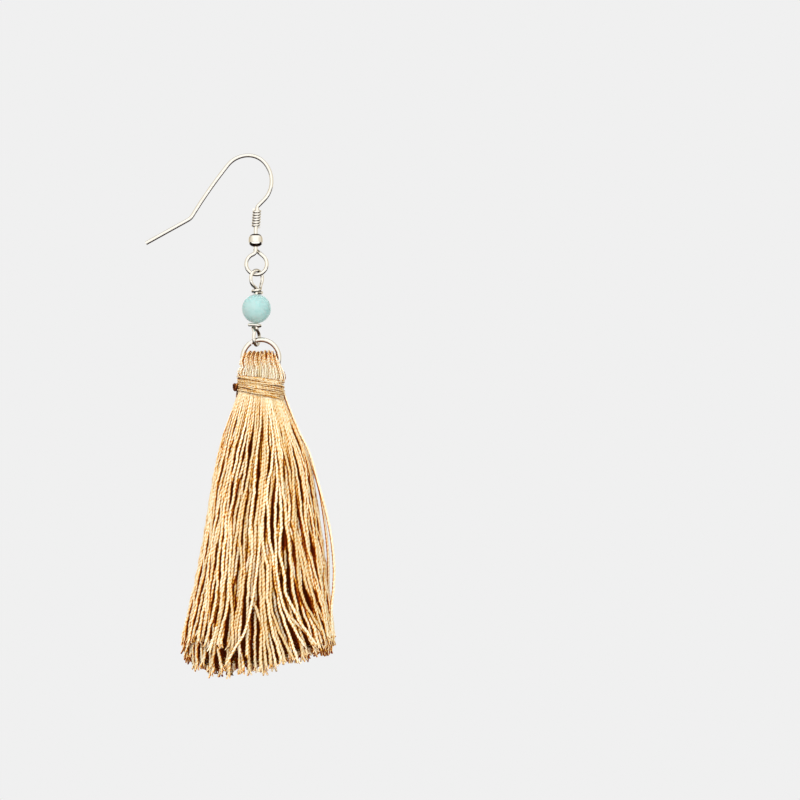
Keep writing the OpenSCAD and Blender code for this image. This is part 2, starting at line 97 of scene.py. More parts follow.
# How the front threads wander sideways on their way down. The first row has their places across at
# mid height, and each other row starts with the share of the length that its places belong to.
FLOW_PLACES = np.array([-1, -0.75, -0.5, -0.25, 0, 0.25, 0.5, 0.75, 1])
FRONT_FLOW = np.array([
    [-0.05, -1, -0.62, -0.29, 0.00, 0.24, 0.38, 0.50, 0.72, 1],
    [0.05, -1, -0.62, -0.30, -0.02, 0.22, 0.36, 0.50, 0.72, 1],
    [0.15, -1, -0.66, -0.36, -0.08, 0.15, 0.32, 0.49, 0.72, 1],
    [0.30, -1, -0.71, -0.44, -0.17, 0.07, 0.27, 0.48, 0.735, 1],
    [0.45, -1, -0.75, -0.50, -0.25, 0.00, 0.25, 0.50, 0.75, 1],
    [0.60, -1, -0.76, -0.51, -0.27, -0.01, 0.26, 0.56, 0.80, 1],
    [0.72, -1, -0.76, -0.51, -0.28, 0.00, 0.25, 0.62, 0.86, 1],
    [0.80, -1, -0.76, -0.52, -0.29, 0.02, 0.36, 0.77, 0.92, 1],
    [0.90, -1, -0.79, -0.56, -0.31, 0.09, 0.64, 0.92, 0.97, 1],
    [1.00, -1, -0.82, -0.60, -0.33, 0.16, 0.84, 0.97, 0.99, 1],
])

# Openings between the front threads, in millimetres from the middle of the ring.
# Columns: x and depth below the ring of the upper end, the same of the lower end, and width
GAPS = np.array([
    [-5.0, 12.1, -5.1, 15.0, 0.35],
    [-3.0, 14.4, -3.1, 16.4, 0.25],
    [-1.2, 14.4, -3.4, 28.0, 0.60],
    [0.5, 18.1, -1.6, 35.7, 0.60],
    [2.4, 18.5, 1.2, 26.4, 0.50],
    [2.9, 14.6, 3.4, 17.5, 0.40],
    [4.3, 13.5, 4.3, 17.1, 0.40],
    [3.8, 20.0, 4.2, 22.5, 0.30],
    [6.4, 17.7, 9.2, 28.5, 0.50],
    [5.1, 30.9, 5.1, 35.9, 0.30],
    [5.7, 27.5, 7.1, 32.1, 0.35],
    [-4.9, 18.1, -5.4, 20.8, 0.35],
    [-7.0, 21.0, -9.9, 29.3, 0.45],
    [-3.0, 21.8, -3.7, 24.7, 0.35],
    [-5.3, 23.7, -6.5, 32.0, 0.35],
    [1.9, 27.0, 1.5, 30.2, 0.35],
    [-3.2, 31.2, -3.6, 34.4, 0.35],
    [-5.4, 33.0, -5.8, 35.5, 0.35],
    [-9.4, 31.2, -9.7, 35.3, 0.35],
    [9.8, 29.3, 10.6, 35.9, 0.35],
    [10.8, 30.2, 11.3, 34.9, 0.30],
    [-4.5, 37.8, -4.8, 40.0, 0.40],
    [-1.2, 41.9, -2.1, 49.8, 0.60],
    [3.6, 38.5, 5.0, 50.2, 1.0],
    [5.4, 32.0, 7.8, 42.5, 0.70],
    [1.5, 42.5, 1.0, 45.2, 0.35],
    [-8.9, 45.2, -9.9, 52.7, 0.50],
    [-6.6, 52.7, -7.0, 56.4, 0.55],
    [-0.1, 53.1, -0.6, 61.0, 1.0],
    [3.3, 50.4, 6.0, 58.9, 0.95],
    [6.0, 56.0, 7.6, 58.3, 0.50],
    [7.1, 54.1, 11.2, 60.1, 0.60],
    [8.5, 47.5, 10.9, 53.3, 0.50],
    [-3.9, 56.8, -3.9, 59.3, 0.35],
    [-12.4, 57.7, -12.7, 61.0, 0.40],
    [11.4, 38.4, 11.5, 40.6, 0.30],
    [13.9, 42.9, 14.1, 49.8, 0.30],
])

# How many short narrow openings are spread between them by chance
SLIT_COUNT = 66

# The layers inside the skirt. Columns: name, number of threads, how far in from the outline, and size of
# the layer's own outline as a share of the skirt's
INNER_LAYERS = (
    ("second", 84, 0.72, 0.99), ("third", 58, 1.6, 0.93), ("fourth", 40, 2.1, 0.70), ("core", 26, 1.9, 0.40))

# The shares of the skirt's length at which its plan is worked out, and the rounds of pushing that it takes
LEVELS = np.linspace(-0.05, 1.05, 45)
SETTLE_ROUNDS = 60

# Millimetres between the points of a thread: by layer, in the layers deeper inside, on a loose thread, and
# before the points are spread evenly
THREAD_STEPS = {"front": 0.23, "back": 0.29, "second": 0.34}
INNER_STEP, LOOSE_STEP, ROUGH_STEP = 0.8, 0.22, 0.5

# How much a millimetre of sink, and a thread's own turned side, add to its depth in the shade
SINK_SHADE, SIDE_SHADE = 0.46, 0.65

# Where the threads are cut, for the front layer and the rest. Columns: place across and share of the length
HEM_LAYERS = {
    "front": np.array([[-1, 0.885], [-0.6, 0.905], [-0.3, 0.905], [-0.16, 0.93], [-0.08, 0.985],
                       [0.35, 0.955], [0.76, 0.925], [1, 0.87]]),
    "rest": np.array([[-1, 0.93], [-0.57, 0.995], [-0.15, 0.985], [0.35, 0.955], [0.76, 0.92], [1, 0.87]]),
}

# Two loose threads on the right, outside the skirt's shade, and one that crosses the front. Columns: x, y
# and depth below the ring
BESIDE_SKIRT = (0, 1)
LOOSE_THREADS = [
    [[4.3, -0.5, 5.6], [5.6, -0.6, 9.5], [7.8, -0.9, 15.0], [10.1, -1.2, 19.8], [12.4, -1.4, 27.8],
     [14.2, -1.6, 35.0], [15.1, -1.8, 42.0], [15.1, -1.9, 47.0], [14.6, -2.0, 52.0], [14.8, -2.2, 57.4]],
    [[4.2, 0.4, 5.6], [5.4, 0.3, 9.5], [7.6, 0.1, 15.0], [9.6, -0.1, 19.8], [11.9, -0.3, 26.5],
     [13.1, -0.5, 33.0], [13.9, -0.6, 40.5], [14.0, -0.6, 47.5], [14.1, -0.5, 53.0], [14.6, -0.4, 56.2]],
    [[0.6, -5.2, 26.0], [0.3, -7.2, 34.0], [-0.9, -9.2, 46.3], [-2.8, -9.95, 55.6], [-4.7, -9.8, 59.0],
     [-6.6, -9.4, 62.4]],
]

# The threads folded over the ring. Columns: place where a fold crosses the ring and height of its
# crossing, as shares of the head's half width and rise, and its place in front, as a share of the neck
FOLDS = np.array([
    [-0.98, 0.50, -1.04],
    [-0.77, 0.88, -0.79],
    [-0.53, 0.98, -0.54],
    [-0.30, 0.88, -0.32],
    [-0.06, 0.84, -0.10],
    [0.18, 0.94, 0.12],
    [0.41, 1.00, 0.35],
    [0.64, 0.97, 0.58],
    [0.86, 0.80, 0.82],
    [0.98, 0.36, 1.06],
])
HEAD_HALF_WIDTH = 3.2
HEAD_RISE = 1.65
HEAD_HALF_DEPTH = 3.6
HIP_HALF_WIDTH = 4.72

# The visible folds lie in bunches. Under them are two layers. Columns: number of folds, place of the first
# on the ring and how much farther the last one is, the same at the binding, how far in at the ring and at
# the binding, half thickness, and how deep the layer is in the shade
BUNCHES, BUNCH_SIZE = 9, 3
INNER_FOLDS = ((22, 0.07, 0.83, 0.05, 0.89, 0.60, 0.42, 0.30, 0.30),
               (12, 0.10, 0.74, 0.08, 0.84, 1.10, 1.0, 0.45, 0.5))

# The camera's distance, and the width and the middle of what the photograph shows, in millimetres
CAMERA_DISTANCE = 1000
PHOTO_WIDTH = 165.6
PHOTO_MIDDLE = (31.39, -50.22)


def colour_of(name, description, default):
    return bpy.props.FloatVectorProperty(
        name=name, description=description, subtype="COLOR", default=default, min=0, max=1)


def length_of(name, description, default):
    return bpy.props.FloatProperty(name=name, description=description, default=default, unit="LENGTH")


class WireSettings(bpy.types.PropertyGroup):
    colour: colour_of("Metal colour", "Colour of the plated wire", (0.96, 0.94, 0.895))
    roughness: bpy.props.FloatProperty(
        name="Roughness", description="How dull the polish is", default=0.08, min=0, max=1)
    # Painted shade: the colour that the metal is painted where it faces down, in place of the shade and dark
    # reflections there
    painted_underside_shade: colour_of("Painted_underside_shade", "Colour of the metal where it faces down", (0.045, 0.020, 0.011))
    coil_wire: length_of("Coil wire", "Thickness of the coil's wire", 0.5 * MM)
    coil_turns: bpy.props.FloatProperty(
        name="Coil turns", description="Number of turns round the stem", default=6.5)
    coil_pitch: length_of("Coil pitch", "Height of one turn", 0.56 * MM)
    link_wire: length_of("Link wire", "Thickness of the link's wire", 0.7 * MM)


class BeadSettings(bpy.types.PropertyGroup):
    colour: colour_of("Stone colour", "Colour of the bead", (0.32, 0.55, 0.54))
    pale_colour: colour_of("Pale colour", "Colour of the bead's paler clouds", (0.455, 0.61, 0.60))


class ThreadSettings(bpy.types.PropertyGroup):
    thickness: length_of("Thread", "Thickness of a thread of the skirt", 0.74 * MM)
    pitch: length_of("Twist", "Length of one full twist of the two plies", 1.7 * MM)
    front_count: bpy.props.IntProperty(
        name="Front threads", description="Threads in the front layer", default=52)
    back_count: bpy.props.IntProperty(
        name="Back threads", description="Threads in the back layer", default=48)
    light: colour_of("Light colour", "Colour of the threads in the light", (0.94, 0.87, 0.675))
    # Painted shade: the side colour is painted where a thread turns away from the outside, the groove colour
    # between threads, and the shade colour deep inside; the light colour is the thread's own
    side_shade_colour: colour_of("Golden colour", "Colour on the sides of the threads", (0.85, 0.475, 0.045))
    groove_shade_colour: colour_of("Brown colour", "Colour in the grooves between threads", (0.42, 0.068, 0.001))
    shade: colour_of("Shade colour", "Colour of the threads deep inside", (0.15, 0.009, 0.001))


class BindingSettings(bpy.types.PropertyGroup):
    thickness: length_of("Thread", "Thickness of the binding thread", 0.34 * MM)
    turns: bpy.props.FloatProperty(
        name="Turns", description="Number of turns round the neck", default=8.5)
    colour: colour_of("Thread colour", "Colour of the binding", (0.84, 0.81, 0.63))
    knot_colour: colour_of("Knot colour", "Colour of the knot", (0.10, 0.025, 0.008))


class StageSettings(bpy.types.PropertyGroup):
    floor_colour: colour_of("Floor colour", "Colour of the floor", (0.87, 0.87, 0.87))
    floor_drop: length_of("Floor", "Height of the floor", -0.30)
    key_light: bpy.props.FloatProperty(
        name="Key light", description="Power of the main light in watts", default=8.7, min=0)


def only(obj):
    """Makes obj the one selected and active object."""
    bpy.ops.object.select_all(action="DESELECT")
    obj.select_set(True)
    bpy.context.view_layer.objects.active = obj


class Nodes:
    """Short calls that add nodes to a tree. An input takes a value or another node's output."""

    def __init__(self, tree):
        self.tree = tree

    def plug(self, socket, value):
        if isinstance(value, bpy.types.NodeSocket):
            self.tree.links.new(value, socket)
        else:
            socket.default_value = (*value, 1) if socket.type == "RGBA" else value

    def fill(self, node, *inputs, **named):
        """Sets a node's inputs in their order, and its options and inputs by name, with _ for a space."""
        for key, value in named.items():
            if hasattr(node, key):
                setattr(node, key, value)
            else:
                self.plug(node.inputs[key.replace("_", " ")], value)
        for socket, value in zip(node.inputs, inputs):
            self.plug(socket, value)
        return node

    def new(self, kind, *inputs, **named):
        return self.fill(self.tree.nodes.new(kind), *inputs, **named)

    def add(self, kind, output=0, **named):
        """Adds a node, and gives one of its outputs."""
        return self.new(kind, **named).outputs[output]

    def calc(self, operation, *inputs, clamp=False):
        return self.new("ShaderNodeMath", *inputs, operation=operation, use_clamp=clamp).outputs[0]

    def spread(self, value, start, end, low=0.0, high=1.0, kind="LINEAR"):
        """Runs from low to high while value runs from start to end."""
        return self.add("ShaderNodeMapRange", interpolation_type=kind, Value=value,
                        From_Min=start, From_Max=end, To_Min=low, To_Max=high)

    def smooth(self, value, start, end, low=0.0, high=1.0):
        return self.spread(value, start, end, low, high, "SMOOTHSTEP")

    def mix(self, factor, a, b, blend="MIX"):
        return self.add("ShaderNodeMix", "Result", data_type="RGBA", blend_type=blend,
                        Factor=factor, A=a, B=b)

    def ramp(self, value, bands):
        """The colour at value among bands, each a place from 0 to 1 and its colour."""
        node = self.new("ShaderNodeValToRGB", Fac=value)
        first, *between, last = bands
        for element, (place, colour) in zip(node.color_ramp.elements, (first, last)):
            element.position, element.color = place, (*colour, 1)
        for place, colour in between:
            node.color_ramp.elements.new(place).color = (*colour, 1)
        return node.outputs["Color"]

    def bump(self, height, strength, distance):
        return self.add("ShaderNodeBump", Strength=strength, Distance=distance, Height=height)

    def fact(self, name):
        """A value that the mesh keeps for each vertex."""
        return self.add("ShaderNodeAttribute", "Fac", attribute_name=name)

    def ray(self, kind):
        """1 for camera, diffuse or glossy rays, and 0 for others."""
        return self.add("ShaderNodeLightPath", f"Is {kind} Ray")

    def place(self, kind):
        """The x, y and z of a texture coordinate."""
        return self.new("ShaderNodeSeparateXYZ", self.add("ShaderNodeTexCoord", kind)).outputs

    def group(self, maker, **named):
        """Adds a shared node group, which is made the first time."""
        if maker not in _groups:
            _groups[maker] = maker()
        return self.add("ShaderNodeGroup", node_tree=_groups[maker], **named)

    def patches(self, scale, contrast):
        return self.group(patches_group, Scale=scale, Contrast=contrast)


_groups = {}


def new_group(name, tree_kind, socket_kind, inputs, output):
    """An empty node group with its named sockets: the group, its Nodes, and its input and output nodes."""
    group = bpy.data.node_groups.new(name, tree_kind)
    for socket, way in [(socket, "INPUT") for socket in inputs] + [(output, "OUTPUT")]:
        group.interface.new_socket(socket, in_out=way, socket_type=socket_kind)
    nodes = Nodes(group)
    return group, nodes, nodes.new("NodeGroupInput"), nodes.new("NodeGroupOutput")


def thread_profile(name, sides, waist):
    """A closed profile curve: a circle drawn in at the sides to the two plies of a thread."""
    waist_reach = 0.3 * MM
    bpy.ops.object.select_all(action="DESELECT")
    bpy.ops.mesh.primitive_circle_add(vertices=sides, radius=MM)
    profile = bpy.context.object
    profile.name = name
    if waist < 1:
        bpy.ops.object.mode_set(mode="EDIT")
        shape = bmesh.from_edit_mesh(profile.data)
        for vert in shape.verts:
            vert.select_set(abs(vert.co.x) < waist_reach)
        shape.select_flush_mode()
        bmesh.update_edit_mesh(profile.data)
        bpy.ops.transform.resize(value=(1, waist, 1))
        bpy.ops.object.mode_set(mode="OBJECT")
    bpy.ops.object.convert(target="CURVE")
    return bpy.context.object


def sweep_nodes(profile, sides):
    """Geometry nodes that sweep the profile along a piece's edges, by its thickness and turn."""
    group, nodes, source, result = new_group(
        "sweep_" + profile.name, "GeometryNodeTree", "NodeSocketGeometry", ["Geometry"], "Geometry")
    thickness, turn = [
        nodes.add("GeometryNodeInputNamedAttribute", "Attribute", data_type="FLOAT", Name=name)
        for name in ("thickness", "turn")]
    path = nodes.add("GeometryNodeMeshToCurve", Mesh=source.outputs[0])
    path = nodes.add("GeometryNodeSetCurveRadius", Curve=path, Radius=thickness)
    path = nodes.add("GeometryNodeSetCurveTilt", Curve=path, Tilt=turn)
    section = nodes.add(
        "GeometryNodeStoreNamedAttribute", data_type="FLOAT", domain="POINT", Name="around",
        Geometry=nodes.add("GeometryNodeObjectInfo", "Geometry", Object=profile),
        Value=nodes.calc("DIVIDE", nodes.add("GeometryNodeInputIndex"), sides))
    body = nodes.add(
        "GeometryNodeCurveToMesh", Curve=path, Profile_Curve=section, Scale=thickness, Fill_Caps=True)
    nodes.fill(result, body)
    return group


def distances(points):
    """How far each point of a path is from its start, along it."""
    return np.concatenate([[0], np.cumsum(np.linalg.norm(np.diff(points[:, :3], axis=0), axis=1))])


def keep_values(mesh, values):
    """Keeps named rows of numbers on a mesh, one number for each vertex."""
    for name, row in values.items():
        mesh.attributes.new(name, "FLOAT", "POINT").data.foreach_set("value", row.astype(np.float32))


_sweeps = {}


def sweep(name, paths, sides=8, waist=0.72, **facts):
    """Sweeps threads or wires along paths, each a table of x, y, z, half thickness in mm, and turn.

    facts gives further values for each path's points, kept on the finished mesh."""
    key = (sides, waist)
    if key not in _sweeps:
        profile = thread_profile(f"profile_{sides}_{int(waist * 100)}", sides, waist)
        _sweeps[key] = (profile, sweep_nodes(profile, sides))
    points = np.concatenate(paths)
    places = points[:, :3] * MM
    ends = np.cumsum([len(path) for path in paths])
    rows = [np.arange(end - len(path), end) for path, end in zip(paths, ends)]
    edges = np.concatenate([np.column_stack([row[:-1], row[1:]]) for row in rows])
    mesh = bpy.data.meshes.new(name)
    mesh.from_pydata(places, edges, [])
    mesh.attributes.new("middle", "FLOAT_VECTOR", "POINT").data.foreach_set("vector", places.ravel())
    keep_values(mesh, {"thickness": points[:, 3], "turn": points[:, 4],
                       "along": np.concatenate([distances(path) for path in paths]),
                       **{fact: np.concatenate(rows) for fact, rows in facts.items()}})
    obj = bpy.data.objects.new(name, mesh)
    bpy.context.scene.collection.objects.link(obj)
    only(obj)
    obj.modifiers.new("sweep", "NODES").node_group = _sweeps[key][1]
    bpy.ops.object.modifier_apply(modifier="sweep")
    bpy.ops.object.shade_smooth_by_angle(angle=SMOOTH_ANGLE)
    return obj


def remove_profiles():
    for profile, nodes in _sweeps.values():
        bpy.data.objects.remove(profile)
        bpy.data.node_groups.remove(nodes)
    _sweeps.clear()


def smooth_path(points, step):
    """Points every step mm along a smooth curve through points, end tangents straight."""
    points = np.asarray(points, float)
    padded = np.concatenate([[2 * points[0] - points[1]], points, [2 * points[-1] - points[-2]]])
    rows = []
    for a, b, c, d in zip(padded, padded[1:], padded[2:], padded[3:]):
        count = max(1, int(math.ceil(np.linalg.norm(c - b) / step)))
        t = (np.arange(count) / count)[:, None]
        bend, twist = 2 * a - 5 * b + 4 * c - d, 3 * b - a - 3 * c + d
        rows.append(0.5 * (2 * b + (c - a) * t + bend * t ** 2 + twist * t ** 3))
    rows.append(points[-1:])
    return np.concatenate(rows)


def even_path(points, step):
    """The same path with its points an even step apart."""
    along = distances(points)
    marks = np.linspace(0, along[-1], max(2, int(round(along[-1] / step)) + 1))
    return np.column_stack([np.interp(marks, along, column) for column in points.T])


def with_twist(points, half, pitch, start=0.0):
    """A path's points with half thickness and the turn of its plies. A pitch of 0 is no twist."""
    turn = start + 2 * math.pi * distances(points) / pitch if pitch else np.zeros(len(points))
    return np.column_stack([points, np.broadcast_to(half, len(points)), turn])


def oval_outward(places, wide, deep):
    """Directions straight out of an oval with half width wide and half depth deep."""
    away = np.column_stack([places[:, 0] / wide ** 2, places[:, 1] / deep ** 2, np.zeros(len(places))])
    return away / (np.linalg.norm(away, axis=1, keepdims=True) + TINY)


def finish_piece(obj, body, slot, material, *replaced):
    obj.data.materials.clear()
    obj.data.materials.append(material)
    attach(obj, body)
    if replaced:
        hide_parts(*replaced)


def outline(share):
    """Reach to the left, to the right and in depth at shares of the skirt's length."""
    return [np.interp(share, SKIRT_OUTLINE[:, 0], SKIRT_OUTLINE[:, k]) for k in (1, 2, 3)]


def reach(x, share):
    """Reach sideways, on the side of x, and reach in depth."""
    left, right, depth = outline(share)
    return np.where(x < 0, left, right), depth


def height_at(across, share):
    """Height below the ring at a share of the length; the skirt starts lower on the right."""
    slope = BINDING_SLOPE_FOOT * (1 + np.clip(across, -1, 1)) * BINDING_HALF_WIDTH
    return SKIRT_TOP - slope * (1 - share) - share * SKIRT_LENGTH


def thread_half(share, full):
    """Half thickness: the threads are pressed thin where the neck is bound."""
    return full * np.interp(share, [0, 0.04, 0.12, 0.24, 0.40], [0.60, 0.65, 0.76, 0.88, 1.0])


class Thread:
    """One thread of the skirt: its layer, angle round the skirt, wander, tone and cut."""

    def __init__(self, layer, angle, inset, scale, rng):
        self.layer, self.angle, self.inset, self.scale = layer, angle, inset, scale
        self.size = 1.25 if layer in ("third", "fourth", "core") else rng.uniform(0.88, 1.08)
        self.front = math.sin(angle) < 0
        self.place = math.cos(angle)
        self.phase = rng.uniform(0, 2 * math.pi, 5)
        self.wave = rng.uniform(0.5, 1.2, 2)
        self.drift = rng.normal(0, 0.048)
        self.tone = rng.normal(0, 1)
        self.cut = rng.normal(0, 0.010)


def lay_threads(settings, rng):
    """Every thread of the skirt: an outer layer in front and at the back, and the layers inside."""
    threads = []
    for layer, count, first in (("front", settings.front_count, math.pi), ("back", settings.back_count, 0)):
        for i in range(count):
            angle = first + math.pi * (i + 0.5 + rng.uniform(-0.3, 0.3)) / count
            threads.append(Thread(layer, angle, rng.uniform(0, 0.55), 1.0, rng))
    for layer, count, inset, scale in INNER_LAYERS:
        for i in range(count):
            angle = 2 * math.pi * (i + rng.uniform(-0.3, 0.3)) / count
            threads.append(Thread(layer, angle, inset, scale, rng))
    return threads


def flow(place, share):
    """Place across of the front threads at a share of the length."""
    table = np.array([[np.interp(p, FLOW_PLACES, row[1:]) for row in FRONT_FLOW] for p in place])
    return np.array([np.interp(share, FRONT_FLOW[:, 0], row) for row in table])


def slits(rng, count):
    """Short narrow openings all over the front, along the way the threads run there."""
    rows = []
    for _ in range(count):
        share, place = rng.uniform(0.08, 0.80), rng.uniform(-0.92, 0.92)
        levels = np.array([share, share + rng.uniform(0.05, 0.13)])
        across = flow([place], levels)[0]
        x, depth = across * reach(across, levels)[0], -height_at(across, levels)
        rows.append([x[0], depth[0], x[1], depth[1], rng.uniform(0.26, 0.50)])
    return np.array(rows)


def settle(threads, full):
    """Plan positions of every thread at a row of heights, so that no two pass through each other."""
    def pick(name):
        return np.array([getattr(thread, name) for thread in threads])

    shares, count = LEVELS, len(threads)
    place, inset, scale = pick("place"), pick("inset")[:, None], pick("scale")[:, None]
    phase, wave = pick("phase"), pick("wave")

    # Where each thread would like to be: across and in depth, with slow and quick waves along it
    rim, slow, quick, slow_size, quick_size = 0.998, 9, 23, 0.30, 0.20
    side = np.where(pick("front"), -1.0, 1.0)[:, None]
    follow = np.array([{"front": 1.0, "second": 0.45}.get(thread.layer, 0.0) for thread in threads])[:, None]
    across = place[:, None] + np.where(side < 0, follow * (flow(place, shares) - place[:, None]), 0)
    drift = pick("drift")[:, None] * np.interp(shares, [0, 0.12, 1], [0, 1, 1.5])
    across = np.clip(across + drift * np.sin(slow * shares + phase[:, 4:]), -rim, rim)
    half = thread_half(shares, full)[None, :] * pick("size")[:, None]
    left, right, depth = outline(shares)
    opening = np.interp(shares, [0, 0.15], [0.45, 1.0])[None, :]
    x = across * (np.where(across < 0, left, right) - half - inset * opening) * scale
    y = side * np.sqrt(1 - across ** 2) * (depth - half - inset * opening) * scale
    grow = np.interp(shares, [0, 0.12, 0.35, 1], [0.05, 0.6, 0.9, 1.0])
    for axis, array in ((0, x), (1, y)):
        w = wave[:, axis:axis + 1] * shares
        array += grow * (slow_size * np.sin(slow * w + phase[:, axis:axis + 1])
                         + quick_size * np.sin(quick * w + phase[:, axis + 2:axis + 3]))
    goal = np.stack([x, y], axis=-1).astype(np.float32)
    spot = goal.copy()
    z = height_at(across, shares[None, :])

    # The openings: each thread of the two outer layers is kept on its own side of each
    openings, ease, most_push = [], 0.2, 1.5
    layers = ((pick("layer") == "front", 1.0), ((pick("layer") == "second") & pick("front"), 0.8))
    narrow = slits(np.random.default_rng(SLIT_SEED), SLIT_COUNT)
    for x0, depth0, x1, depth1, width in np.concatenate([GAPS, narrow]):
        t = (-z - depth0) / (depth1 - depth0)
        near = np.sin(math.pi * np.clip((t + ease) / (1 + 2 * ease), 0, 1)) ** 0.8
        middle = x0 + (x1 - x0) * t
        level = np.abs(t - 0.5).argmin(1)[:, None]
        where = np.where(np.take_along_axis(goal[..., 0] - middle, level, 1) >= 0, 1.0, -1.0)
        for members, strength in layers:
            rows = np.flatnonzero(members)
            clear = (strength * width / 2 + 0.9 * half[rows]) * near[rows]
            openings.append((rows, middle[rows], clear, near[rows], where[rows]))

    # Rounds of pushing apart, out of the openings, back home, into the outline and into even curves
    packed, apart_push, gap_push, home_pull, evening = 0.93, 0.35, 0.5, 0.04, 0.22
    room = (packed * (half[:, None, :] + half[None, :, :])).astype(np.float32)
    room[np.arange(count), np.arange(count)] = 0
    for _ in range(SETTLE_ROUNDS):
        gap = spot[:, None] - spot[None, :]
        apart = np.sqrt((gap ** 2).sum(-1)) + SMALL
        close = np.clip(room - apart, 0, None) / apart
        spot += apart_push * (gap * close[..., None]).sum(1)
        for rows, middle, clear, near, where in openings:
            push = np.clip(clear - where * (spot[rows, :, 0] - middle), 0, most_push) * where
            spot[rows, :, 0] += gap_push * near * push
        spot += home_pull * (goal - spot)
        wide, deep = reach(spot[..., 0], shares[None, :])
        out = np.sqrt((spot[..., 0] / (wide - half)) ** 2 + (spot[..., 1] / (deep - half)) ** 2)
        spot /= np.maximum(1, out)[..., None]
        spot[:, 1:-1] += evening * (spot[:, 2:] + spot[:, :-2] - 2 * spot[:, 1:-1])
    return shares, spot, z


def sink_of(spot, shares, cuts):
    """How far each thread lies below the ones over it, level by level, in millimetres."""
    cover_width, cover_turn = 0.55, 1
    wide, deep = reach(spot[..., 0], shares[None, :])
    size = np.hypot(spot[..., 0] / wide, spot[..., 1] / deep) + SMALL
    angle = np.arctan2(spot[..., 1] / deep, spot[..., 0] / wide)
    along = np.stack([-wide * np.sin(angle), deep * np.cos(angle)], -1)
    along /= np.linalg.norm(along, axis=-1, keepdims=True)
    far = np.hypot(spot[..., 0], spot[..., 1])
    sink = np.zeros_like(far)
    for level, share in enumerate(shares):
        here = spot[:, level]
        aside = np.abs(((here[None, :] - here[:, None]) * along[:, level][:, None]).sum(-1))
        turn = np.abs((angle[:, level] - angle[:, level][:, None] + math.pi) % (2 * math.pi) - math.pi)
        over = (aside < cover_width) & (turn < cover_turn) & (cuts > share)[None, :]
        top = np.where(over, size[None, :, level], 0).max(1)
        sink[:, level] = np.clip(top / size[:, level] - 1, 0, None) * far[:, level]
    return sink


def skirt_outward(places):
    """Directions straight out of the skirt at places measured from the ring, in millimetres."""
    share = np.clip((SKIRT_TOP - 1 - places[:, 2]) / (SKIRT_LENGTH - 1), 0, 1)
    return oval_outward(places, *reach(places[:, 0], share))


def frayed_end(path, rng):
    """Three loose ends of strands at the cut end of a thread."""
    points, rooted = 5, 0.4
    end = path[-1, :3]
    down = path[-1, :3] - path[-6, :3]
    down /= np.linalg.norm(down)
    half = path[-2, 3]
    t = np.linspace(0, 1, points)[:, None]
    lean = rng.uniform(0, 2 * math.pi)
    rows = []
    for turned in lean + np.array([0, 2.1, 4.2]) + rng.normal(0, 0.4, 3):
        aside = np.array([math.cos(turned), math.sin(turned), 0])
        length, spread = rng.uniform(0.3, 1.3), rng.uniform(0.12, 0.50)
        line = end - rooted * down + down * (rooted + length) * t + aside * (0.35 * half + spread * t ** 2)
        rows.append(with_twist(line, half * np.linspace(0.62, 0.45, points), 0))
    return rows


def crimped(line, share, rng):
    """The same path with the small bends that a thread keeps from its twist."""
    along = distances(line)
    size = np.interp(share, [0, 0.08, 0.3, 1], [0, 0.03, 0.050, 0.058])
    bends = np.zeros((len(line), 2))
    for length, part in ((2.3, 0.6), (3.9, 0.8), (7.1, 0.9)):
        length *= rng.uniform(0.85, 1.2)
        for axis in (0, 1):
            bends[:, axis] += part * np.sin(2 * math.pi * along / length + rng.uniform(0, 2 * math.pi))
    return line + np.column_stack([size[:, None] * bends, np.zeros(len(line))])


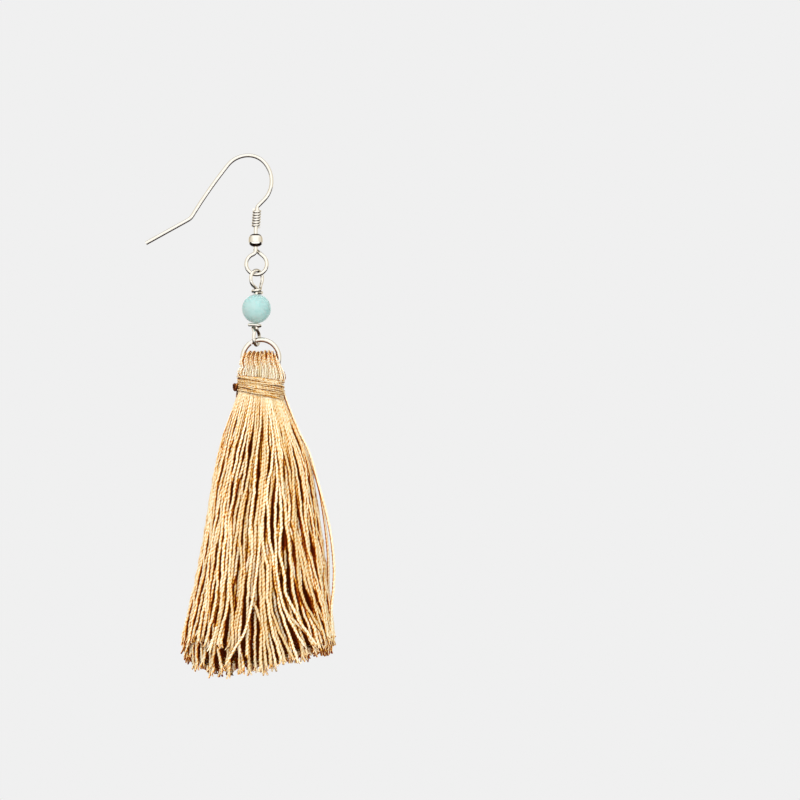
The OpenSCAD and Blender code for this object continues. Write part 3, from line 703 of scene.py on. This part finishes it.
def skirt_paths(settings):
    """The skirt's threads and frayed ends: each a thread, its path, and for each point its sink below the
    surface and how bare of shade it is."""
    rng = np.random.default_rng(SKIRT_SEED)
    full = settings.thickness / MM / 2
    threads = lay_threads(settings, rng)
    shares, spot, z = settle(threads, full)
    cuts, fray_room, hem_level = [], 0.028, -3
    for k, thread in enumerate(threads):
        x = spot[k, hem_level, 0]
        across = x / reach(x, 0.95)[0]
        table = HEM_LAYERS["front" if thread.layer == "front" else "rest"]
        cuts.append(np.interp(across, table[:, 0], table[:, 1]) + thread.cut - fray_room)
    sink = sink_of(spot, shares, np.array(cuts))
    pitch = settings.pitch / MM
    made = []
    for k, (thread, cut) in enumerate(zip(threads, cuts)):
        keep = shares < cut - 0.01
        share = np.append(shares[keep], cut)
        line = np.column_stack([np.append(row[keep], np.interp(cut, shares, row))
                                for row in (spot[k, :, 0], spot[k, :, 1], z[k])])
        fine = even_path(smooth_path(line, ROUGH_STEP), THREAD_STEPS.get(thread.layer, INNER_STEP))
        fine_share = np.interp(-fine[:, 2], -line[:, 2], share)
        fine = crimped(fine, fine_share, rng)
        half = thread.size * thread_half(fine_share, full)
        path = with_twist(fine, half, pitch * rng.uniform(0.92, 1.1), thread.phase[0])

        def near_cut(before, length):
            """Grows from 0 to 1 over length, from before the cut, both as shares of the skirt's length."""
            return np.clip((fine_share - cut + before) / length, 0, 1)

        # Light comes in at the hem, so the sink counts for less there
        lit = (1 - 0.75 * near_cut(0.06, 0.05)) * np.interp(fine_share, [0.5, 0.9], [1.0, 0.7])
        depth = np.interp(fine_share, shares, sink[k]) * lit - 0.12 * near_cut(0.045, 0.045)
        made.append((thread, path, depth, 0.28 * near_cut(0.06, 0.06)))
        if thread.layer in (*THREAD_STEPS, "third"):
            for tip in frayed_end(path, rng):
                tip_depth = np.linspace(0.15, rng.uniform(-0.1, 0.8), len(tip))
                made.append((thread, tip, tip_depth, np.full(len(tip), 0.25)))

    rightmost, pale_tone, thin, top, length = 1.99 * math.pi, 0.9, 0.84, 9.0, 57.0
    for n, line in enumerate(LOOSE_THREADS):
        thread = Thread("front", rightmost, 0, 1, rng)
        thread.tone = pale_tone
        fine = even_path(smooth_path(np.array(line) * [1, 1, -1], ROUGH_STEP), LOOSE_STEP)
        fine_share = np.clip((-fine[:, 2] - top) / length, LEVELS[0], LEVELS[-1])
        path = with_twist(fine, thread_half(fine_share, thin * full), pitch, n)
        depth = -0.85 if n in BESIDE_SKIRT else 0.0
        made.append((thread, path, np.full(len(path), depth), np.zeros(len(path))))
    return made


def patches_group():
    """Node group: soft patches of a pattern at a given scale, from 0 to 1."""
    group, nodes, source, result = new_group(
        "soft_patches", "ShaderNodeTree", "NodeSocketFloat", ["Scale", "Contrast"], "Mask")
    scale, contrast = source.outputs["Scale"], source.outputs["Contrast"]
    middle = 0.5
    noise = nodes.add("ShaderNodeTexNoise", Detail=5.0, Roughness=0.6, Scale=scale,
                      Vector=nodes.add("ShaderNodeTexCoord", "Object"))
    around_zero = nodes.calc("SUBTRACT", noise, middle)
    nodes.fill(result, nodes.calc("MULTIPLY_ADD", around_zero, contrast, middle, clamp=True))
    return group


def fibre_group():
    """Node group: fine fibres that run along the plies of a thread, as a height from 0 to 1."""
    group, nodes, source, result = new_group(
        "ply_fibres", "ShaderNodeTree", "NodeSocketFloat", ["Fibres"], "Height")
    stretch = 0.35
    angle = nodes.calc("MULTIPLY", nodes.fact("around"), 2 * math.pi)
    place = nodes.add("ShaderNodeCombineXYZ", X=nodes.calc("SINE", angle), Y=nodes.calc("COSINE", angle),
                      Z=nodes.calc("MULTIPLY", nodes.fact("along"), stretch))
    noise = nodes.add("ShaderNodeTexNoise", Detail=2.0, Vector=place, Scale=source.outputs["Fibres"])
    nodes.fill(result, noise)
    return group


def new_material(name):
    material = bpy.data.materials.new(name)
    material.use_nodes = True
    return material, Nodes(material.node_tree), material.node_tree.nodes["Principled BSDF"]


def metal_material(name, settings, under, strength, painted_top_shadow=None, painted_reflection=None):
    """Plated metal with painted shade where it faces down, and a painted shadow where it faces up if a top is
    given.

    under, and the top if given, are the heights of the surface's normal at which the painted shade starts and
    is full. A reflection colour, if given, is painted there in place of the shade's colour."""
    material, nodes, shader = new_material(name)
    patches = nodes.patches(900.0, 1.6)
    warmer = [c * share for c, share in zip(settings.colour, (0.93, 0.90, 0.83))]
    colour = nodes.mix(patches, settings.colour, warmer)
    facing_up = nodes.place("Normal")["Z"]
    # Painted shade and shadow: the colour is darkened between the given heights of the normal
    for start, end in filter(None, (under, painted_top_shadow)):
        share = nodes.smooth(facing_up, start, end, high=strength)
        colour = nodes.mix(share, colour, painted_reflection or settings.painted_underside_shade)
    roughness = nodes.spread(patches, 0, 1, 0.7 * settings.roughness, 1.4 * settings.roughness)
    scratches = nodes.bump(nodes.patches(4200.0, 1.2), strength=0.04, distance=0.00003)
    nodes.fill(shader, Metallic=1.0, Base_Color=colour, Roughness=roughness, Normal=scratches)
    return material


def stone_material(name, settings):
    """Clouded stone that takes in a little light."""
    material, nodes, shader = new_material(name)
    clouds = nodes.patches(260.0, 2.2)
    grain = nodes.bump(nodes.patches(2600.0, 1.0), strength=0.05, distance=0.00005)
    nodes.fill(shader, Specular_IOR_Level=0.35, Subsurface_Weight=0.45, Subsurface_Radius=(0.6, 1.0, 1.0),
               Subsurface_Scale=0.0018, Base_Color=nodes.mix(clouds, settings.colour, settings.pale_colour),
               Roughness=nodes.spread(clouds, 0, 1, 0.22, 0.34), Normal=grain)
    return material


def thread_material(name, colours, depths=(0.19, 0.37, 0.54, 0.80)):
    """Thread: light outside, with painted shade that deepens at its sides and is dark deep inside, painted
    shade in the grooves of its twist, a faint painted glow deep inside, and fibres.
    """
    material, nodes, shader = new_material(name)
    fuzz, fuzz_base, warm_share, tone_share, patch_share, patch_base = 0.34, 0.15, 0.30, 0.07, 0.16, 0.92
    depth, groove, tone = [nodes.fact(fact) for fact in ("depth", "groove", "tone")]
    coarse, fine = nodes.patches(420.0, 2.4), nodes.patches(2300.0, 2.4)
    # Painted shade: the colour runs from light to dark with the depth of shade on each vertex, roughened by
    # noise
    rough_depth = nodes.calc("MULTIPLY_ADD", fine, fuzz, depth)
    colour = nodes.ramp(nodes.calc("SUBTRACT", rough_depth, fuzz_base, clamp=True), zip(depths, colours))
    # Painted shade in the grooves between the plies
    ply_groove_shade = nodes.calc("MULTIPLY", groove, coarse)
    colour = nodes.mix(ply_groove_shade, colour, (0.84, 0.58, 0.26), "MULTIPLY")
    warmth = nodes.calc("MULTIPLY_ADD", tone, -warm_share, warm_share, clamp=True)
    colour = nodes.mix(warmth, colour, (0.95, 0.82, 0.56), "MULTIPLY")
    patchy = nodes.calc("MULTIPLY_ADD", coarse, patch_share, patch_base)
    bright = nodes.calc("MULTIPLY_ADD", tone, tone_share, patchy)
    colour = nodes.add("ShaderNodeHueSaturation", Value=bright, Color=colour)
    # A painted glow in the deep threads, which lifts their shade though they are no lamp
    painted_glow = nodes.mix(nodes.spread(depth, 0.45, 0.95), (0, 0, 0), (0.030, 0.005, 0.0003))
    fibres = nodes.group(fibre_group, Fibres=5.0)
    nodes.fill(shader, Base_Color=colour, Emission_Color=painted_glow, Emission_Strength=1.0,
               Specular_IOR_Level=0.10, Roughness=nodes.spread(fibres, 0, 1, 0.42, 0.62),
               Normal=nodes.bump(fibres, strength=0.45, distance=0.00006))
    return material


def mark_threads(obj, outward):
    """Writes each vertex's depth of painted shade, from its sink in the bundle and how far it turns away from
    the outside, and how far it lies in a groove between the plies.
    """
    mesh = obj.data
    facts = mesh.attributes

    def read(name):
        values = np.empty(len(mesh.vertices), np.float32)
        facts[name].data.foreach_get("value", values)
        return values

    def read_places(data, field):
        values = np.empty((len(mesh.vertices), 3), np.float32)
        data.foreach_get(field, values.ravel())
        return values / MM

    middle = read_places(facts["middle"].data, "vector")
    offset = read_places(mesh.vertices, "co") - middle
    crest = (offset * outward(middle - RING_CENTRE)).sum(1) / read("thickness")
    depth = SINK_SHADE * read("sink") + SIDE_SHADE * (1 - crest)
    if "bare" in facts:
        depth *= 1 - read("bare")
        facts.remove(facts["bare"])
    keep_values(mesh, {"depth": depth, "groove": (0.5 + 0.5 * np.cos(4 * math.pi * read("around"))) ** 1.5})
    for name in ("middle", "thickness", "turn", "sink"):
        facts.remove(facts[name])


def thread_piece(name, slot, material, outward, replaced, paths, **facts):
    """Makes a piece of the tassel from paths of thread. outward gives the directions out of the bundle at
    places measured from the ring, and facts goes to sweep."""
    obj = sweep(name, paths, **facts)
    mark_threads(obj, outward)
    finish_piece(obj, "tassel_drop", slot, material, *replaced)


class EARRING_OT_metal(bpy.types.Operator):
    """Gives the ear wire, the ball and the ring their plated finish"""
    bl_idname = "earring.metal"
    bl_label = "Metal Finish"

    def execute(self, context):
        settings = context.scene.earring_wire
        # Painted shade on each metal where it faces down
        wire = metal_material("plated_wire", settings, under=(-0.10, -0.50), strength=1.0)
        # The ball also gets a painted shadow on its top, where the coil's wire meets it
        ball = metal_material("plated_ball", settings, under=(-0.36, -0.52), strength=1.0, painted_top_shadow=(0.62, 0.76))
        # The ring's painted shade is a painted reflection of the threads below it, in their colour
        ring = metal_material("plated_ring", settings, under=(0.0, -0.50), strength=0.95,
                              painted_reflection=(0.24, 0.10, 0.035))
        for node, metal in (("ear_hook", wire), ("hook_ball", ball), ("tassel_ring", ring)):
            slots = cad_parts[node].material_slots
            if not slots:
                raise RuntimeError(f"{node} has no material slot")
            for slot in slots:
                slot.material = metal
        return {"FINISHED"}


class EARRING_OT_coil(bpy.types.Operator):
    """Winds the coil on the stem of the ear wire"""
    bl_idname = "earring.coil"
    bl_label = "Coil"

    def execute(self, context):
        wire = context.scene.earring_wire
        half, pitch, turns = wire.coil_wire / MM / 2, wire.coil_pitch / MM, wire.coil_turns
        radius = STEM_HALF + WIRE_GAP + half
        steps_a_turn = 40
        a = np.linspace(0, 2 * math.pi * turns, int(turns * steps_a_turn) + 1)
        height = half + WIRE_GAP + pitch * a / (2 * math.pi)
        local = np.column_stack([radius * np.cos(a), radius * np.sin(a), height])
        c, s = math.cos(COIL_LEAN), math.sin(COIL_LEAN)
        points = local @ np.array([[c, 0, s], [0, 1, 0], [-s, 0, c]]).T + COIL_START
        coil = sweep("coil_wire", [with_twist(points, half, 0)], sides=14, waist=1)
        # Painted shade where the coil's wire faces down
        metal = metal_material("plated_coil", wire, under=(-0.40, -0.85), strength=0.75)
        finish_piece(coil, "hook", "coil_wire", metal, "hook_coil")
        return {"FINISHED"}


def link_end(radius, end_length, wire):
    """One end of the link from its cut end to the top of its stem, as in the frame, with finer steps."""
    gap, seat, bridge_steps = 1.45, 0.33, 14
    wrap_end, loop_from, loop_to = map(math.radians, (270, -35, 240))
    wrap_radius = wire + WIRE_GAP
    a = np.linspace(0, wrap_end, 40)
    wrap = np.column_stack([wrap_radius * np.cos(a), wrap_radius * np.sin(a),
                            seat + wrap_radius * a / (2 * math.pi)])
    b = np.linspace(loop_from, loop_to, 60)
    loop = np.column_stack([radius * np.cos(b), 0 * b, gap + radius + radius * np.sin(b)])
    stem_top = np.array([0, 0, gap - wire])

    def bridge(p, p_dir, q, q_dir, pull):
        t = (np.arange(1, bridge_steps) / bridge_steps)[:, None]
        u = 1 - t
        p, q, m, n = map(np.asarray, (p, q, p + pull * np.array(p_dir), q - pull * np.array(q_dir)))
        return u ** 3 * p + 3 * u * u * t * m + 3 * u * t * t * n + t ** 3 * q

    start_dir = [-math.sin(b[0]), 0, math.cos(b[0])]
    end_dir = [-math.sin(b[-1]), 0, math.cos(b[-1])]
    tail = wrap[0] - np.outer(np.linspace(1, 0.1, 8), [0, end_length, 0])
    return np.concatenate([tail, wrap, bridge(wrap[-1], [1, 0, 0], loop[0], start_dir, pull=0.55), loop,
                           bridge(loop[-1], end_dir, stem_top, [0, 0, -1], pull=0.45), [stem_top]])


class EARRING_OT_link(bpy.types.Operator):
    """Bends the wrapped wire link that holds the bead"""
    bl_idname = "earring.link"
    bl_label = "Bead Link"

    def execute(self, context):
        wire = context.scene.earring_wire.link_wire / MM

        def placed(points, z, turn):
            c, s = math.cos(math.radians(turn)), math.sin(math.radians(turn))
            return points @ np.array([[c, -s, 0], [s, c, 0], [0, 0, 1]]).T + BEAD_CENTRE + [0, 0, z]

        rounded_end, upper_turn, lower_turn = 0.82, 49, 250
        upper = placed(link_end(radius=1.75, end_length=0.9, wire=wire), BEAD_HALF, upper_turn)
        lower = placed(link_end(radius=1.55, end_length=1.5, wire=wire) * [1, 1, -1], -BEAD_HALF, lower_turn)
        points = even_path(smooth_path(np.concatenate([upper, lower[::-1]]), 0.08), 0.09)
        half = np.full(len(points), wire / 2)
        half[[0, -1]] *= rounded_end
        link = sweep("link_wire", [with_twist(points, half, 0)], sides=16, waist=1)
        # Painted shade where the link's wire faces down
        metal = metal_material(
            "plated_link", context.scene.earring_wire, under=(-0.12, -0.50), strength=0.9)
        finish_piece(link, "bead_drop", "link_wire", metal, "bead_link")
        return {"FINISHED"}


class EARRING_OT_bead(bpy.types.Operator):
    """Gives the bead its stone"""
    bl_idname = "earring.bead"
    bl_label = "Bead"

    def execute(self, context):
        stone = stone_material("pale_turquoise", context.scene.earring_bead)
        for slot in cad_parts["bead"].material_slots:
            slot.material = stone
        return {"FINISHED"}


def thread_colours(settings):
    return [tuple(colour) for colour in (settings.light, settings.side_shade_colour, settings.groove_shade_colour, settings.shade)]


SKIRT_PIECES = ("skirt_front_left", "skirt_front_right", "skirt_back_left", "skirt_back_right",
                "skirt_inner_front", "skirt_inner_back", "skirt_core")


class EARRING_OT_skirt(bpy.types.Operator):
    """Lays the threads of the skirt and cuts them at the hem"""
    bl_idname = "earring.skirt"
    bl_label = "Skirt Threads"

    def execute(self, context):
        settings = context.scene.earring_thread
        material = thread_material("skirt_thread", thread_colours(settings))
        groups = {name: [] for name in SKIRT_PIECES}
        for thread, path, sink, bare in skirt_paths(settings):
            if thread.layer in ("front", "back"):
                key = f"skirt_{thread.layer}_{'left' if thread.place < 0 else 'right'}"
            elif thread.layer == "second":
                key = "skirt_inner_front" if thread.front else "skirt_inner_back"
            else:
                key = "skirt_core"
            path[:, :3] += RING_CENTRE
            groups[key].append((path, np.full(len(path), thread.tone), sink, bare))
        for name, members in groups.items():
            if not members:
                raise RuntimeError(f"{name} has no threads")
            paths, tones, sinks, bares = zip(*members)
            shape = {"sides": 6, "waist": 1} if name == "skirt_core" else {}
            replaced = ["tassel"] if name == SKIRT_PIECES[0] else []
            thread_piece(name, "thread", material, skirt_outward, replaced, paths,
                         tone=tones, sink=sinks, bare=bares, **shape)
        return {"FINISHED"}


def fold_path(top, low, inset_top, inset_low, rng):
    """A thread folded over the ring, from the binding in front, over the top and down to it at the back.

    It crosses the ring at place top and the binding at place low, from 0 at the left to 1 at the right."""
    def value(u, column):
        return np.interp(u * (len(FOLDS) - 1), np.arange(len(FOLDS)), FOLDS[:, column])

    # Where the thread crosses the ring, and where it goes in under the binding
    widest, rim, skin = 1.08, 0.985, 0.35
    crossing_x, height = value(top, 0) * HEAD_HALF_WIDTH, value(top, 1)
    front = value(low, 2)
    hip_x = front * (HIP_HALF_WIDTH - inset_low)
    neck_place = np.clip(front / widest, -rim, rim)
    neck_x = neck_place * (NECK_HALF_WIDTH - skin - inset_low)
    neck_y = math.sqrt(1 - neck_place ** 2) * (NECK_HALF_DEPTH - skin - inset_low)
    neck_z = -NECK_DROP - BINDING_SLOPE_TOP * (1 + neck_place) * BINDING_HALF_WIDTH

    # The arc over the ring, leaning to the left in front and drawn in at the back
    spring, rounding, lean, draw_in = -1.9, 0.9, 0.55, 0.3
    bulge = HEAD_HALF_DEPTH - rounding * front ** 2 - inset_top - 0.25
    rise = HEAD_RISE * height - spring - inset_top - 0.22
    a = np.radians(np.arange(0, 181, 12))
    forward, up = np.cos(a), np.sin(a)
    shoulder_x = crossing_x + 0.62 * (hip_x - crossing_x)
    x = crossing_x + (shoulder_x - crossing_x) * np.abs(forward) ** 1.5
    x -= lean * np.clip(forward, 0, 1) * up ** 0.5
    x -= draw_in * front * np.clip(-forward, 0, 1)
    arc = np.column_stack([x, -bulge * forward, spring + rise * up])
    side = np.array([[neck_x, neck_y, neck_z - 1.5], [neck_x, neck_y, neck_z - 0.35],
                     [hip_x, 0.5 * (bulge + neck_y) + 0.12, neck_z + 0.35],
                     [0.25 * shoulder_x + 0.75 * hip_x, bulge, 0.5 * (spring + neck_z) + 0.25]])
    line = np.concatenate([side * [1, -1, 1], arc, side[::-1]])
    unevenness = 0.03
    line += rng.normal(0, unevenness, line.shape)
    return even_path(smooth_path(line, 0.3), 0.2)


def head_outward(places):
    """Directions straight out of the head at places measured from the ring, in millimetres."""
    sideways, middle_height = 0.35, -2.2
    away = places * [sideways, 1, 1] - [0, 0, middle_height]
    away[:, 2] = np.clip(away[:, 2], 0, None)
    return away / (np.linalg.norm(away, axis=1, keepdims=True) + TINY)


class EARRING_OT_head(bpy.types.Operator):
    """Folds the threads over the ring"""
    bl_idname = "earring.head"
    bl_label = "Head Threads"

    def execute(self, context):
        settings = context.scene.earring_thread
        rng = np.random.default_rng(HEAD_SEED)
        paths, tones, sinks = [], [], []
        pitch, foot, head_height, paler, top_shade, deep_shade = 1.15, -2.4, 2.6, 0.16, 0.42, 2.4

        def fold(top, low, inset_top, inset_low, half, deep):
            line = fold_path(top, low, inset_top, inset_low, rng)
            paths.append(with_twist(line + RING_CENTRE, half, pitch, rng.uniform(0, 6)))
            tones.append(np.full(len(line), rng.normal()))
            top_share = np.clip((line[:, 2] - foot) / head_height, 0, 1)
            sinks.append(deep - paler + (top_shade + deep_shade * deep) * top_share)

        visible, gather, stray, half = BUNCHES * BUNCH_SIZE, 0.70, 0.006, 0.228
        for i in range(visible):
            low = (i + 0.5) / visible
            bunch = (i // BUNCH_SIZE + 0.5) / BUNCHES
            top = low + gather * (bunch - low) + rng.normal(0, stray)
            inset_top, inset_low = 0.26 * (i % BUNCH_SIZE != 1), 0.10 * (i % 2)
            fold(top, low + rng.normal(0, stray), inset_top, inset_low, half, deep=0.0)
        for count, top, top_width, low, low_width, *rest in INNER_FOLDS:
            for i in range(count):
                fold(top + top_width * i / (count - 1), low + low_width * i / (count - 1), *rest)
        light, *darker = thread_colours(settings)
        pale = tuple(c * cooler for c, cooler in zip(light, (0.95, 1.02, 1.13)))
        material = thread_material("head_thread", (pale, *darker), (0.20, 0.34, 0.50, 0.76))
        thread_piece("head_threads", "thread", material, head_outward, [], paths, tone=tones, sink=sinks)
        return {"FINISHED"}


def wound(count, start, slope_top, slope_foot, lift, wobble, phase):
    """Path of a thread wound count times round the neck, measured from the ring.

    Its waves have odd lengths, so that no two turns are alike."""
    steps_a_turn = 60
    a = math.pi + np.linspace(0, 2 * math.pi * count, int(count * steps_a_turn))
    part = (a - math.pi) / (2 * math.pi * count)
    slope = slope_top + part * (slope_foot - slope_top)
    fall = slope * (1 + np.cos(a)) * BINDING_HALF_WIDTH + start + (BINDING_HEIGHT - start) * part
    fall += wobble * np.sin(2.37 * a + phase) + 0.6 * wobble * np.sin(5.13 * a)
    out = lift + 0.05 * np.sin(1.71 * a + phase)
    return np.column_stack([(BINDING_HALF_WIDTH + out) * np.cos(a), (BINDING_HALF_DEPTH + out) * np.sin(a),
                            -NECK_DROP - fall])


class EARRING_OT_binding(bpy.types.Operator):
    """Winds the binding round the neck and ties its knot"""
    bl_idname = "earring.binding"
    bl_label = "Neck Binding"

    def execute(self, context):
        settings = context.scene.earring_binding
        half = settings.thickness / MM / 2
        main = wound(settings.turns, start=0.0, slope_top=BINDING_SLOPE_TOP, slope_foot=BINDING_SLOPE_FOOT,
                     lift=0.0, wobble=0.07, phase=0.4)
        over = wound(4.5, start=0.25, slope_top=0.07, slope_foot=0.20, lift=0.12, wobble=0.15, phase=2.0)
        paths, tones, sinks = [], [], []
        spacing, pitch, swell = 0.12, 1.3, 0.10
        for line, sink in ((main, 0.06), (over, 0.0)):
            fine = even_path(line, spacing)
            step = np.arange(len(fine))
            paths.append(with_twist(fine + RING_CENTRE, half * (1 + swell * np.sin(step * 0.11)), pitch))
            tones.append(0.9 * np.sin(step * 0.023) + 0.5 * np.sin(step * 0.061 + 1))
            sinks.append(sink + 0.05 * np.sin(step * 0.037))
        # The end of the main thread lies in shade on the right
        first, end_turns, end_shade = paths[0], 0.72, 0.28
        near_end = np.arange(len(first)) > len(first) * (1 - end_turns / settings.turns)
        sinks[0][near_end & (first[:, 0] > RING_CENTRE[0])] += end_shade
        colours = (tuple(settings.colour), *thread_colours(context.scene.earring_thread)[1:])
        material = thread_material("binding_thread", colours, (0.10, 0.25, 0.38, 0.58))
        thread_piece("binding_thread", "binding_thread", material,
                     lambda places: oval_outward(places, BINDING_HALF_WIDTH, BINDING_HALF_DEPTH),
                     ["neck_binding"], paths, waist=0.80, tone=tones, sink=sinks)

        # The knot's middle, its loop, and the threads that come in at its top and go out at its foot
        centre = np.array([-BINDING_HALF_WIDTH - 0.32, -0.68, -NECK_DROP - 0.80 * BINDING_HEIGHT])
        t = np.linspace(0, 2 * math.pi, 90)
        knot = np.column_stack([0.30 * (np.sin(t) + 1.1 * np.sin(2 * t)),
                                0.26 * (np.cos(t) - 1.1 * np.cos(2 * t)), -0.62 * np.sin(3 * t)])
        spacing, shade, shade_swing = 0.1, 0.35, 0.3
        tail = smooth_path(
            [[0.15, 0, -0.5], [0.12, -0.1, -1.0], [0.05, -0.1, -1.6], [0, -0.1, -2.05]], spacing)
        lead = smooth_path([[0.45, 0.1, 0.9], [0.2, 0, 0.5], [0, 0, 0.1]], spacing)
        paths = [with_twist(even_path(line, spacing) + centre + RING_CENTRE, half, pitch=1.0)
                 for line, half in ((knot, 0.27), (tail, 0.15), (lead, 0.22))]
        sinks = [shade + shade_swing * np.sin(np.arange(len(path)) * 0.35) for path in paths]
        tones = [np.zeros(len(path)) for path in paths]
        to_the_light = [-0.5, -0.7, 0.5]
        # Painted light and shade: the knot is lighter where it turns to the light and darker away from it and
        # deep inside
        colours = ((0.60, 0.29, 0.07), (0.26, 0.085, 0.02), tuple(settings.knot_colour), (0.02, 0.005, 0.002))
        material = thread_material("knot_thread", colours, (0.05, 0.25, 0.45, 0.7))
        thread_piece("binding_knot", "binding_thread", material,
                     lambda places: np.tile(to_the_light, (len(places), 1)),
                     [], paths, tone=tones, sink=sinks)
        return {"FINISHED"}


def soft_light(name, place, aim_height, size, power, colour=(1, 1, 1)):
    """A lamp that faces a height of the earring and isn't mirrored in it."""
    lamp = bpy.data.lights.new(name, "AREA")
    lamp.shape = "RECTANGLE"
    lamp.size, lamp.size_y = size
    lamp.energy = power
    lamp.color = colour
    obj = bpy.data.objects.new(name, lamp)
    bpy.context.scene.collection.objects.link(obj)
    obj.location = place
    obj.rotation_mode = "QUATERNION"
    obj.rotation_quaternion = (Vector((0, 0, aim_height)) - Vector(place)).to_track_quat("-Z", "Y")
    obj.visible_glossy = False


def floor_material(settings):
    """Pale floor: it shines less light back up than it shows, and mirrors dark behind the earring."""
    material, nodes, shader = new_material("pale_floor")
    duller = [0.985 * c for c in settings.floor_colour]
    colour = nodes.mix(nodes.patches(30.0, 1.0), settings.floor_colour, duller)
    _, y, _ = nodes.place("Object")
    strip = nodes.calc("MULTIPLY", nodes.smooth(y, -0.24, -0.10), nodes.smooth(y, 0.40, 0.60, 1.0, 0.0))
    colour = nodes.mix(nodes.calc("MULTIPLY", strip, nodes.ray("Glossy")), colour, (0.03, 0.022, 0.016))
    colour = nodes.mix(nodes.ray("Diffuse"), colour, (0.58, 0.56, 0.53))
    colour = nodes.mix(nodes.ray("Camera"), colour, (0.20, 0.20, 0.20))
    nodes.fill(shader, Roughness=0.9, Specular_IOR_Level=0.1, Base_Color=colour, Emission_Color=(1, 1, 1),
               Emission_Strength=nodes.calc("MULTIPLY", nodes.ray("Camera"), 0.62))
    return material


def studio_world():
    """Pale backdrop, soft light from above, and the bright and dark parts that the metal mirrors."""
    world = bpy.data.worlds.new("studio")
    world.use_nodes = True
    world.node_tree.nodes.clear()
    nodes = Nodes(world.node_tree)
    x, y, z = nodes.place("Generated")
    seen = nodes.add("ShaderNodeBackground", Color=(0.871, 0.871, 0.871))
    bands = ((0.30, (0.52, 0.51, 0.49)), (0.90, (0.92, 0.92, 0.92)))
    from_above = nodes.ramp(nodes.spread(z, -1.0, 1.0), bands)
    lit = nodes.add("ShaderNodeBackground", Color=from_above, Strength=0.70)

    beside = nodes.calc("ABSOLUTE", x)
    back = nodes.mix(nodes.smooth(beside, 0.25, 0.75), (0.10, 0.085, 0.065), (0.52, 0.46, 0.36))
    front = nodes.mix(nodes.smooth(beside, 0.45, 0.98), (0.95, 0.94, 0.92), (0.66, 0.62, 0.54))
    backward = nodes.calc("MULTIPLY_ADD", nodes.calc("MAXIMUM", z, 0.0), -0.25, y)
    not_straight = nodes.smooth(y, 0.80, 0.92, 1.0, 0.0)
    behind = nodes.calc("MULTIPLY", nodes.smooth(backward, -0.05, 0.28), not_straight)
    mirrored = nodes.add("ShaderNodeBackground", Color=nodes.mix(behind, front, back), Strength=1.25)

    unseen = nodes.new("ShaderNodeMixShader", nodes.ray("Glossy"), lit, mirrored).outputs[0]
    surface = nodes.new("ShaderNodeMixShader", nodes.ray("Camera"), unseen, seen).outputs[0]
    nodes.new("ShaderNodeOutputWorld", Surface=surface)
    return world


class EARRING_OT_stage(bpy.types.Operator):
    """Sets the floor, the lights and the camera"""
    bl_idname = "earring.stage"
    bl_label = "Stage"

    def execute(self, context):
        settings, scene = context.scene.earring_stage, context.scene
        bpy.ops.object.select_all(action="DESELECT")
        bpy.ops.mesh.primitive_plane_add(size=3.4, location=(0, 0, 0))
        floor = context.object
        floor.name = "floor"
        bpy.ops.object.mode_set(mode="EDIT")
        bpy.ops.mesh.bevel(offset=0.9, segments=12, affect="VERTICES")
        bpy.ops.object.mode_set(mode="OBJECT")
        floor.data.transform(Matrix.Translation((0, 0, settings.floor_drop)))
        floor.data.materials.append(floor_material(settings))
        scene.world = studio_world()

        key = settings.key_light
        soft_light("key", (-0.45, -0.80, 0.65), -0.05, (0.40, 0.40), key, (1, 0.985, 0.96))
        soft_light("fill", (0.60, -0.75, 0.0), -0.06, (0.50, 0.70), 0.46 * key)
        soft_light("back", (0.30, 1.00, 0.45), -0.05, (0.70, 0.70), 0.70 * key)
        soft_light("top", (0.0, 0.20, 0.90), -0.05, (0.60, 0.60), 0.36 * key)

        camera = bpy.data.cameras.new("camera")
        camera.sensor_width = 36.0
        camera.lens = camera.sensor_width * CAMERA_DISTANCE / PHOTO_WIDTH
        camera.clip_start, camera.clip_end = 0.05, 20
        obj = bpy.data.objects.new("camera", camera)
        scene.collection.objects.link(obj)
        obj.location = (PHOTO_MIDDLE[0] * MM, -CAMERA_DISTANCE * MM, PHOTO_MIDDLE[1] * MM)
        obj.rotation_euler = (math.radians(90), 0, 0)
        scene.camera = obj
        scene.view_settings.view_transform = "Standard"
        scene.view_settings.look = "None"
        return {"FINISHED"}


class EARRING_PT_panel(bpy.types.Panel):
    """Lists the pieces of the earring"""
    bl_idname = "EARRING_PT_panel"
    bl_label = "Tassel Earring"
    bl_space_type = "VIEW_3D"
    bl_region_type = "UI"
    bl_category = "Earring"

    def draw(self, context):
        for operator in OPERATORS:
            self.layout.operator(operator.bl_idname)


SETTINGS = {"earring_wire": WireSettings, "earring_bead": BeadSettings, "earring_thread": ThreadSettings,
            "earring_binding": BindingSettings, "earring_stage": StageSettings}
OPERATORS = (EARRING_OT_metal, EARRING_OT_coil, EARRING_OT_link, EARRING_OT_bead, EARRING_OT_skirt,
             EARRING_OT_head, EARRING_OT_binding, EARRING_OT_stage)


def register():
    for cls in (*SETTINGS.values(), *OPERATORS, EARRING_PT_panel):
        bpy.utils.register_class(cls)
    for name, cls in SETTINGS.items():
        setattr(bpy.types.Scene, name, bpy.props.PointerProperty(type=cls))


def unregister():
    for name in SETTINGS:
        delattr(bpy.types.Scene, name)
    for cls in reversed((*SETTINGS.values(), *OPERATORS, EARRING_PT_panel)):
        bpy.utils.unregister_class(cls)


def main():
    register()
    for operator in OPERATORS:
        call = getattr(bpy.ops.earring, operator.bl_idname.split(".")[1])
        if call() != {"FINISHED"}:
            raise RuntimeError(f"{operator.bl_idname} stopped")
    remove_profiles()
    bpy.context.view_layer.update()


if __name__ == "__main__":
    main()
